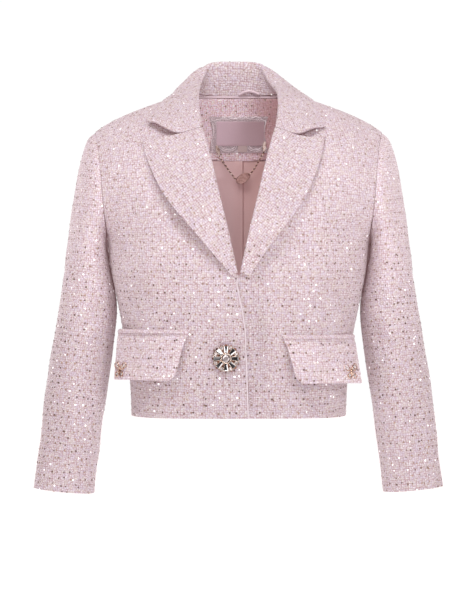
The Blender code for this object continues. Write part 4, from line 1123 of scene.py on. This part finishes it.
def link_maker(material):
    """Oval wire links along a line, every second one turned edge on."""
    names = ("Links", "Half Length", "Half Width", "Wire", "Lean")
    group, tree, ground = new_maker("cable_chain", names)
    ask = ground.other
    line = tree.add("GeometryNodeMeshToCurve", {}, ground)
    points = tree.add("GeometryNodeCurveToPoints", {"mode": "COUNT"}, line, Count=ask("Links"))
    ring = tree.add("GeometryNodeCurvePrimitiveCircle", {}, Resolution=12, Radius=1.0)
    ring = tree.add("GeometryNodeTransform", {}, ring, Rotation=(math.pi / 2, 0.0, 0.0),
                    Scale=tree.add("ShaderNodeCombineXYZ", {}, ask("Half Width"), ask("Half Length"), 1.0))
    wire = tree.add("GeometryNodeCurvePrimitiveCircle", {}, Resolution=6, Radius=ask("Wire"))
    link = tree.add("GeometryNodeCurveToMesh", {}, ring, wire)
    odd = tree.add("ShaderNodeMath", {"operation": "MODULO"}, tree.add("GeometryNodeInputIndex"), 2.0)
    turn = tree.add("FunctionNodeEulerToRotation", {},
                    tree.add("ShaderNodeCombineXYZ", {}, 0.0, 0.0, odd * (math.pi / 2) + ask("Lean")))
    way = tree.add("FunctionNodeRotateRotation", LOCAL, points.other("Rotation"), turn)
    linked = tree.add("GeometryNodeInstanceOnPoints", {}, points, Instance=link, Rotation=way)
    end_maker(tree, linked, material)
    return group


def add_beads(name, line, material, slot, spacing, thickness, length):
    """Beads, stitches or knots along a line, as one piece."""
    sizes = {"Spacing": spacing, "Thickness": thickness, "Length": length}
    keep(name, grown(line, bead_maker(material), sizes), material, slot=slot)


SEQUIN_ROWS = {
    "Row Spacing": 0.0094, "Column Spacing": 0.0084, "Wander": 0.0040, "Radius": 0.00136, "Tilt": 0.16,
    "Left Out": 0.10, "Left Out Higher": 0.36,
}
# The rows run over more than the cloth's own size, so that they reach all its corners.
ROWS_REACH = 1.3


def build_sequins():
    """Sequins on each cloth that has them, as one piece each."""
    maker = sequin_maker()
    for cloth in CLOTHS:
        if cloth.sequins:
            mesh = cloths[cloth.node].data
            width, length, _area = cut_size(mesh)
            sizes = dict(
                SEQUIN_ROWS, Width=ROWS_REACH * width, Height=ROWS_REACH * length,
                Side=1 if cloth.node == "back_neck_facing" else 0, Seed=7 * cloth.sequins,
            )
            keep(f"{cloth.node}_sequins", grown(mesh, maker, sizes), SEQUIN, slot="tweed", smooth=False)


build_sequins()


# --- Trims set on flat seats -------------------------------------------------------------------------
class Seat:
    """A flat place for a trim: its middle, and its directions right, up and out."""

    def __init__(self, middle, right, up):
        self.middle, self.right, self.up = Vector(middle), Vector(right).normalized(), Vector(up)
        self.up = (self.up - self.right * self.up.dot(self.right)).normalized()
        self.out = self.right.cross(self.up) * -1
        if self.out.y > 0:
            self.out.negate()

    def at(self, right, up, out):
        """The place this far right, up and out."""
        return self.middle + self.right * right + self.up * up + self.out * out

    def ring(self, centre, radius, out, count):
        """Points all round a centre, as (right, up), at one height."""
        return [self.at(*beside(centre, radius, turn), out) for turn in full_turn(count)]


def beside(centre, radius, angle):
    """A point this far from a centre, at an angle."""
    return centre[0] + radius * math.cos(angle), centre[1] + radius * math.sin(angle)


def turned(distance, angle, across=0.0):
    """A point this far out at an angle, and this far across from there."""
    return (
        distance * math.cos(angle) - across * math.sin(angle),
        distance * math.sin(angle) + across * math.cos(angle),
    )


def add_rings(shape, rings, flash=None, tones=()):
    """Rows of corners joined by faces and closed at both ends; flash gives each face its tone."""
    rows = [[shape.verts.new(corner) for corner in ring] for ring in rings]
    count = len(rows[0])
    faces = [shape.faces.new(rows[0][::-1]), shape.faces.new(rows[-1])]
    for low, high in zip(rows, rows[1:]):
        for index in range(count):
            after = (index + 1) % count
            faces.append(shape.faces.new((low[index], low[after], high[after], high[index])))
    if flash:
        for index, face in enumerate(faces):
            face[flash] = tones[index % len(tones)]


def solid(shape):
    """A mesh from a bmesh of closed forms, every face turned outwards."""
    bmesh.ops.recalc_face_normals(shape, faces=shape.faces)
    return mesh_of(shape)


BUTTON_SEAT = Seat((-0.0172, -0.11144, -0.3696), (1, 0, 0), (0, 0, 1))
MIDDLE = (0.0, 0.0)
STONE_BASE = 0.0037
STONES = 8
LONG_TURNS = full_turn(STONES)  # the way out to each long stone
ROUND_TURNS = LONG_TURNS + math.pi / STONES  # and to each small round one, between two of those
ROUND_OUT = 0.0152  # from the button's middle to that of each small round stone
CENTRE_RADIUS, CENTRE_HEIGHT = 0.0057, 0.0045
ROUND_RADIUS, ROUND_HEIGHT = 0.0021, 0.0024
# The brightnesses that a facet is painted with, as its reflection.
FLASHES = (0.0, 0.15, 0.45, 0.75, 1.0)
TONES_DRAWN = 47  # more than a round stone has facets


def add_brilliant(shape, flash, seat, centre, radius, base, height, seed):
    """A round stone: straight girdle, two rows of facets and a flat table."""
    chance = np.random.default_rng(seed)
    rows = []
    for share, rise, half in ((1.0, 0.0, 0), (1.0, 0.42, 0), (0.80, 0.78, 1), (0.50, 1.0, 0)):
        rows.append([
            seat.at(*beside(centre, radius * share, turn), base + rise * height)
            for turn in (np.arange(10) + half / 2) * 2 * math.pi / 10
        ])
    # Painted reflections for the facets; the table's is set on its own.
    tones = chance.choice(FLASHES, TONES_DRAWN)
    tones[1] = 0.22 if radius == CENTRE_RADIUS else chance.choice((0.35, 0.75))
    add_rings(shape, rows, flash, tones)


def build_round_stones():
    """The stone at the button's middle and the small ones near its rim."""
    places = {"button_centre_stone": (MIDDLE, CENTRE_RADIUS, CENTRE_HEIGHT)}
    for index, angle in enumerate(ROUND_TURNS, 1):
        places[f"button_chaton_{index}"] = (turned(ROUND_OUT, angle), ROUND_RADIUS, ROUND_HEIGHT)
    for number, (node, (centre, radius, height)) in enumerate(places.items()):
        shape = bmesh.new()
        flash = shape.faces.layers.float.new("flash")
        add_brilliant(shape, flash, BUTTON_SEAT, centre, radius, STONE_BASE, height, 30 + number)
        keep(f"{node}_cut", solid(shape), CRYSTAL, replaces=[node], slot="crystal", smooth=False)


# Each baguette's painted reflections, as brightnesses: its table, the bevel on its right hand, the one on its
# left, and its outer end.
BAGUETTE_TONES = (
    (0.01, 0.03, 0.10, 0.55), (0.01, 0.98, 0.02, 0.25), (0.01, 0.96, 0.97, 0.10), (0.97, 0.95, 0.03, 0.60),
    (0.16, 0.35, 0.06, 0.30), (0.04, 0.03, 0.80, 0.20), (0.01, 0.05, 0.88, 0.98), (0.03, 0.02, 0.62, 0.15),
)


def build_baguettes():
    """Tapered step-cut stones that point at the middle, painted dark with bright bevels as reflections."""
    for index, (angle, tones) in enumerate(zip(LONG_TURNS, BAGUETTE_TONES), 1):
        table, near, far, end = tones
        shape = bmesh.new()
        flash = shape.faces.layers.float.new("flash")
        rows = []
        for inset, rise in ((0.0, 0.0), (0.0, 0.0011), (0.0007, 0.0018), (0.00125, 0.0024)):
            wedge = (
                (0.0073 + inset, -0.0017 + inset), (0.0169 - inset, -0.0030 + inset),
                (0.0169 - inset, 0.0030 - inset), (0.0073 + inset, 0.0017 - inset),
            )
            height = STONE_BASE + rise
            rows.append([BUTTON_SEAT.at(*turned(out, angle, across), height) for out, across in wedge])
        bevels = (near, end, far, 0.05)
        add_rings(shape, rows, flash, (0.0, table) + (0.1, 0.1, 0.1, 0.1) + bevels + bevels)
        node = f"button_baguette_{index}"
        keep(f"{node}_cut", solid(shape), JET, replaces=[node], slot="jet_stone", smooth=False)


def build_button_setting():
    """The cast setting: a scalloped plate, cups round the small stones and bars beside the long ones."""
    shape, seat = merged("button_setting"), BUTTON_SEAT
    for round_turn, angle in zip(ROUND_TURNS, LONG_TURNS):
        cup = turned(ROUND_OUT, round_turn)
        add_tube(shape, seat.ring(cup, 0.0026, 0.0044, 14), 0.00052, 6, closed=True)
        for turn in (0.4, 2.5, 4.5):
            foot, tip = beside(cup, 0.0024, turn), beside(cup, 0.0017, turn)
            claw = [seat.at(*foot, 0.0040), seat.at(*foot, 0.0056), seat.at(*tip, 0.0063)]
            add_tube(shape, claw, 0.00038, 6)
        for hand in (-1, 1):
            line = ((0.0068, 0.0021), (0.0120, 0.0028), (0.0172, 0.0035))
            bar = [seat.at(*turned(out, angle, hand * across), 0.0049) for out, across in line]
            add_tube(shape, bar, 0.00040, 6)
            foot, tip = turned(0.0173, angle, hand * 0.0022), turned(0.0162, angle, hand * 0.0020)
            claw = [seat.at(*foot, 0.0040), seat.at(*foot, 0.0058), seat.at(*tip, 0.0064)]
            add_tube(shape, claw, 0.00042, 6)
    add_tube(shape, seat.ring(MIDDLE, 0.0063, 0.0058, 28), 0.00065, 8, closed=True)
    skirt = ((0.0066, 0.0034), (0.0063, 0.0056), (0.0058, 0.0056), (0.0058, 0.0034))
    add_rings(shape, [seat.ring(MIDDLE, out, rise, 28) for out, rise in skirt])
    mesh = softened(solid(shape), 0.00035, 55)
    keep("button_setting_cast", mesh, BUTTON_GOLD, replaces=["button_setting"], slot="rose_gold")
    beads = line_mesh(seat.ring(MIDDLE, 0.0068, 0.0060, 59), closed=True)
    add_beads("button_bead_ring", beads, BRIGHT_GOLD, "rose_gold", 0.00122, 0.0011, 0.0011)


build_round_stones()
build_baguettes()
build_button_setting()


# --- Butterflies -------------------------------------------------------------------------------------
BUTTERFLIES = {
    RIGHT: Seat((-0.16186, -0.06440, -0.38710), (0.68907, -0.72469, 0.0), (0.01673, 0.23555, 0.97172)),
    LEFT: Seat((0.15283, -0.07727, -0.38911), (0.78941, 0.61386, 0.0), (-0.02122, 0.32820, 0.94437)),
}
Wing = namedtuple("Wing", "angle reach width stones")
WINGS = (
    Wing(math.radians(42), 0.0146, 0.0098, ((0.0098, 0.0021), (0.0058, 0.0012))),
    Wing(math.radians(-50), 0.0106, 0.0082, ((0.0066, 0.0019),)),
)
WING_ROOT = 0.0012


def wing_line(wing, hand):
    """A closed leaf that starts and ends at the body, wider towards its tip."""
    line = []
    for turn in full_turn(20):
        out = (WING_ROOT + wing.reach) / 2 - (wing.reach - WING_ROOT) / 2 * math.cos(turn)
        wide = wing.width / 2 * math.sin(turn) * (0.70 - 0.42 * math.cos(turn))
        right, up = turned(out, wing.angle, wide)
        line.append((hand * right, up))
    return line


def build_butterfly(side):
    """Four open wings of plated wire with crystals in them, a slim body and two feelers."""
    seat, word = BUTTERFLIES[side], SIDE_NAMES[side]
    shape, stones = bmesh.new(), bmesh.new()
    flash = stones.faces.layers.float.new("flash")
    for hand in (-1, 1):
        for number, wing in enumerate(WINGS):
            outline = [seat.at(*spot, 0.0014) for spot in wing_line(wing, hand)]
            add_tube(shape, outline, 0.00062, 8, closed=True)
            for out, radius in wing.stones:
                right, up = turned(out, wing.angle)
                centre = (hand * right, up)
                add_brilliant(stones, flash, seat, centre, radius, 0.0008, 0.0011, 60 + number + hand)
                add_tube(shape, seat.ring(centre, radius * 1.1, 0.0010, 10), 0.00030, 6, closed=True)
            spoke = [seat.at(hand * right * part, up * part, 0.0010) for part in (0.12, 0.5, 0.88)]
            add_tube(shape, spoke, 0.00036, 6)
        feeler = ((0.0003, 0.0036), (0.0012, 0.0056), (0.0026, 0.0068))
        add_tube(shape, [seat.at(hand * right, up, 0.0014) for right, up in feeler], 0.00028, 6)
    body = [seat.at(0.0, up, 0.0016) for up in (-0.0044, -0.0020, 0.0010, 0.0036)]
    add_tube(shape, body, lambda part: 0.0005 + 0.0006 * math.sin(math.pi * part), 8)
    node = f"butterfly_{word}"
    keep(f"{node}_wire", solid(shape), GOLD, replaces=[node], slot="rose_gold")
    keep(f"{node}_crystals", solid(stones), CRYSTAL, slot="crystal", smooth=False)


for side in BUTTERFLIES:
    build_butterfly(side)


# --- Neck trims: leaf tabs, oval tag, lace cords and stitches -----------------------------------------
def add_plate(shape, seat, outline, thickness, rim):
    """A flat plate with a raised rim round a slightly sunk middle."""
    top, sunk = 0.5, 0.5 - rim
    add_rings(shape, [
        [seat.at(right * share, up * share, out * thickness) for right, up in outline]
        for share, out in ((0.92, -top), (1.0, -0.3), (1.0, 0.3), (0.97, top), (0.93, top),
                           (0.91, sunk), (0.89, sunk), (0.86, sunk), (0.30, sunk))
    ])


PLATE = 0.0012
TAG_TURN = math.radians(30)
TAG_SEAT = Seat((0.0069, 0.09304, -0.1150), (math.cos(TAG_TURN), 0, math.sin(TAG_TURN)),
                (-math.sin(TAG_TURN), 0, math.cos(TAG_TURN)))
TAB_SEATS = {
    RIGHT: Seat((-0.02943, 0.08798, -0.07515), (0.94, 0.10, 0.30), (-0.28, -0.24, 0.93)),
    LEFT: Seat((0.03749, 0.08558, -0.06967), (0.985, -0.10, -0.12), (0.11, -0.28, 0.95)),
}


def oval(half_length, half_width, count=28, point=1.0):
    """An oval as (along, across), drawn to a point at its ends where point is over 1."""
    line = []
    for turn in full_turn(count):
        along, across = math.cos(turn), math.sin(turn)
        line.append((half_length * along, half_width * math.copysign(abs(across) ** point, across)))
    return line


def build_tag():
    """The bare oval tag, with an eye at each end."""
    shape = bmesh.new()
    add_plate(shape, TAG_SEAT, oval(0.01165, 0.0063), PLATE, 0.12)
    for place in (-0.0098, 0.0098):
        add_tube(shape, TAG_SEAT.ring((place, 0.0), 0.0012, 0.0007, 12), 0.00032, 6, closed=True)
    return keep("chain_tag_plate", solid(shape), TAG_GOLD, replaces=["chain_tag"], slot="rose_gold")


def build_tab(side):
    """A leaf-shaped tab that a chain hangs from."""
    shape = bmesh.new()
    leaf = [(across, along) for along, across in oval(0.0079, 0.0029, 24, 1.25)]
    add_plate(shape, TAB_SEATS[side], leaf, PLATE, 0.25)
    node = f"chain_tab_{SIDE_NAMES[side]}"
    return keep(f"{node}_leaf", solid(shape), TAB_GOLD, replaces=[node], slot="rose_gold")


LINK = {"Half Length": 0.0021, "Half Width": 0.00088, "Wire": 0.00050, "Lean": 0.25}


def hang_chains():
    """A cable chain on each side, from its leaf tab down to the oval tag between them."""
    tag, maker = build_tag(), link_maker(CHAIN_GOLD)
    for side, stops in CHAINS.items():
        points = smooth_path(stops, 19)
        length = path_length(points)
        inner = smooth_path(stops, 201)[6:-6]
        mesh = grown(line_mesh(inner), maker, dict(LINK, Links=round(length / LINK_PITCH)))
        name = f"chain_{SIDE_NAMES[side]}"
        links = keep(f"{name}_links", mesh, CHAIN_GOLD, replaces=[name], slot="rose_gold")
        pieces = [build_tab(side), tag] if side == RIGHT else [build_tab(side)]


hang_chains()


def looking_at(piece):
    """A function from (x, height) to the nearest place of a piece seen from the front."""
    mesh = piece.data
    places, faces = [vertex.co for vertex in mesh.vertices], [face.vertices for face in mesh.polygons]
    tree = BVHTree.FromPolygons(places, faces)

    def place(x, height, off):
        """The nearest place, this far off the piece."""
        spot = tree.ray_cast(Vector((x, -0.5, height)), Vector((0, 1, 0)))
        if spot[0] is None:
            spot = tree.find_nearest(Vector((x, 0.085, height)))
        out = spot[1] if spot[1].y < 0 else -spot[1]
        return spot[0] + out * off

    return place


def arch(middle, base, half_width, rise):
    """An arch over a base line, as (x, height) points."""
    return [(middle + half_width * math.cos(turn), base + rise * math.sin(turn))
            for turn in np.linspace(0, math.pi, 15)]


# The lace's two ends from the top down, as (x, height).
LACE_RIGHT = (
    (-0.0425, -0.0262), (-0.0418, -0.0300), (-0.0388, -0.0345), (-0.0366, -0.0400), (-0.0358, -0.0470),
    (-0.0365, -0.0540), (-0.0386, -0.0600), (-0.0402, -0.0660), (-0.0392, -0.0740),
)
LACE_LEFT = (
    (0.0430, -0.0262), (0.0428, -0.0305), (0.0400, -0.0350), (0.0382, -0.0410), (0.0374, -0.0480),
    (0.0384, -0.0550), (0.0398, -0.0610), (0.0412, -0.0670), (0.0400, -0.0740),
)
LACE_TOP = -0.0262
SCALLOP_MIRROR = -0.1366  # twice the height that the arches below are turned over at


def build_lace_cords():
    """The raised cords of the lace: its edge, arches above the label and hanging scallops below."""
    onto = looking_at(cloths["label_lace_edge"])
    top = [(x, LACE_TOP + 0.0009 * math.sin(x * 900)) for x in np.linspace(-0.0425, 0.0430, 40)]
    lines = [LACE_RIGHT, LACE_LEFT, top]
    for middle, half_width in ((-0.0160, 0.0075), (0.0060, 0.0070), (0.0255, 0.0070)):
        for inset in (0.0, 0.0018):
            lines.append(arch(middle, -0.0310, half_width - inset, 0.0044 - inset * 0.8))
    for middle, half_width in ((-0.0150, 0.0128), (0.0250, 0.0115)):
        for inset in (0.0, 0.0024):
            dip = arch(middle, -0.0690, half_width - inset, 0.0085 - inset)
            lines.append([(x, SCALLOP_MIRROR - height) for x, height in dip])
    shape = bmesh.new()
    for number, line in enumerate(lines):
        radius = 0.00055 if number < 3 else 0.00043
        add_tube(shape, [onto(x, height, 0.0004) for x, height in line], radius, 6)
    keep("label_lace_cords", solid(shape), LACE_CORD, slot="pale_lace")


def build_label_stitches():
    """A row of brown stitches along the label's top edge and pale ones at its ends."""
    onto = looking_at(cloths["neck_label"])
    left, right, bottom, top = -0.0313, 0.0377, -0.0655, -0.0330
    line = line_mesh([onto(x, top, 0.00022) for x in np.linspace(left, right, 50)])
    add_beads("label_top_stitches", line, LABEL_THREAD, "label_satin", 0.0024, 0.00045, 0.0021)
    for word, x in (("right", left), ("left", right)):
        line = line_mesh([onto(x, height, 0.00020) for height in np.linspace(bottom, top, 24)])
        add_beads(f"label_{word}_end_stitches", line, LACE_CORD, "label_satin", 0.0022, 0.0004, 0.0017)


SEAM_RISE = Vector((0.0, 0.0, 0.0022))


def build_neck_seam():
    """The covered seam where the collar's stand meets the facing, with its brown stitches."""
    facing = cloths["back_neck_facing"]
    places, onto = corners_of(facing.data), looking_at(facing)
    tops = [(x, places[np.abs(places[:, 0] - x) < 0.003][:, 2].max()) for x in np.linspace(-0.054, 0.054, 55)]
    shape = bmesh.new()
    add_tube(shape, [onto(x, top - 0.0003, 0.0) + SEAM_RISE for x, top in tops], 0.0018, 8)
    keep("neck_seam_cord", solid(shape), ROLLED_TWEED, slot="tweed")
    for word, first, last in (("right", 12, 25), ("left", 37, 48)):
        line = line_mesh([onto(x, top - 0.0004, 0.0009) for x, top in tops[first:last]])
        add_beads(f"neck_seam_{word}_stitches", line, SEAM_THREAD, "tweed", 0.0034, 0.0009, 0.0019)


def build_front_edge_roll():
    """The smooth pale roll of the right front's folded edge."""
    onto = looking_at(cloths["front_right"])
    heights = np.linspace(-0.4505, -0.2610, 60)
    shape = bmesh.new()
    add_tube(shape, [onto(front_edge(height) - 0.0012, height, 0.0001) for height in heights], 0.0011, 8)
    keep("front_edge_roll", solid(shape), ROLLED_EDGE, slot="tweed")


build_lace_cords()
build_label_stitches()
build_neck_seam()
build_front_edge_roll()


# --- Stage -----------------------------------------------------------------------------------------
FLOOR_HEIGHT = -0.95
LAMP_TINT = (0.98, 1.0, 1.0)
SURROUND_GLOW = (1.0, 0.76, 0.74)
WHITE = (1.0, 1.0, 1.0)
Lamp = namedtuple("Lamp", "name place aim_height size watts")
LAMPS = (
    Lamp("key", (1.45, -2.05, 1.15), -0.15, 0.7, 22.5),
    Lamp("front", (0.00, -2.75, 0.45), -0.15, 1.2, 9.5),
    Lamp("top", (-0.45, -1.10, 1.90), -0.15, 1.0, 37),
    Lamp("back", (0.60, 2.50, 1.10), -0.20, 1.6, 15),
)


def build_stage():
    """A pale floor, a bright surround and soft light from above, from the right and from behind."""
    scene = bpy.context.scene
    scene.view_settings.view_transform = "Standard"
    world = bpy.data.worlds.new("studio")
    world.use_nodes = True
    scene.world = world
    tree = Tree(world.node_tree)
    background = tree.nodes["Background"]
    seen = tree.add("ShaderNodeLightPath")
    tree.feed(background.inputs["Color"], tree.mix(seen, SURROUND_GLOW, WHITE))
    tree.feed(background.inputs["Strength"], seen * 0.66 + 0.36)
    shape = bmesh.new()
    bmesh.ops.create_grid(shape, x_segments=2, y_segments=2, size=9.0)
    for vertex in shape.verts:
        vertex.co.z = FLOOR_HEIGHT
    floor = placed("floor", mesh_of(shape))
    material, tree, shader = new_material("pale_floor", Roughness=0.9, Emission_Strength=0.80)
    grain = tree.noise(tree.place(), 3.0)
    tree.feed(shader.inputs["Base Color"], tree.mix(grain, (0.90, 0.90, 0.90), (0.93, 0.93, 0.93)))
    tree.feed(shader.inputs["Emission Color"], WHITE)
    floor.data.materials.append(material)
    for lamp in LAMPS:
        data = bpy.data.lights.new(lamp.name, "AREA")
        data.size, data.energy, data.color = lamp.size, lamp.watts, LAMP_TINT
        light = placed(lamp.name, data)
        light.location = lamp.place
        way = Vector((0.0, 0.0, lamp.aim_height)) - Vector(lamp.place)
        light.rotation_euler = way.to_track_quat("-Z", "Y").to_euler()


build_stage()
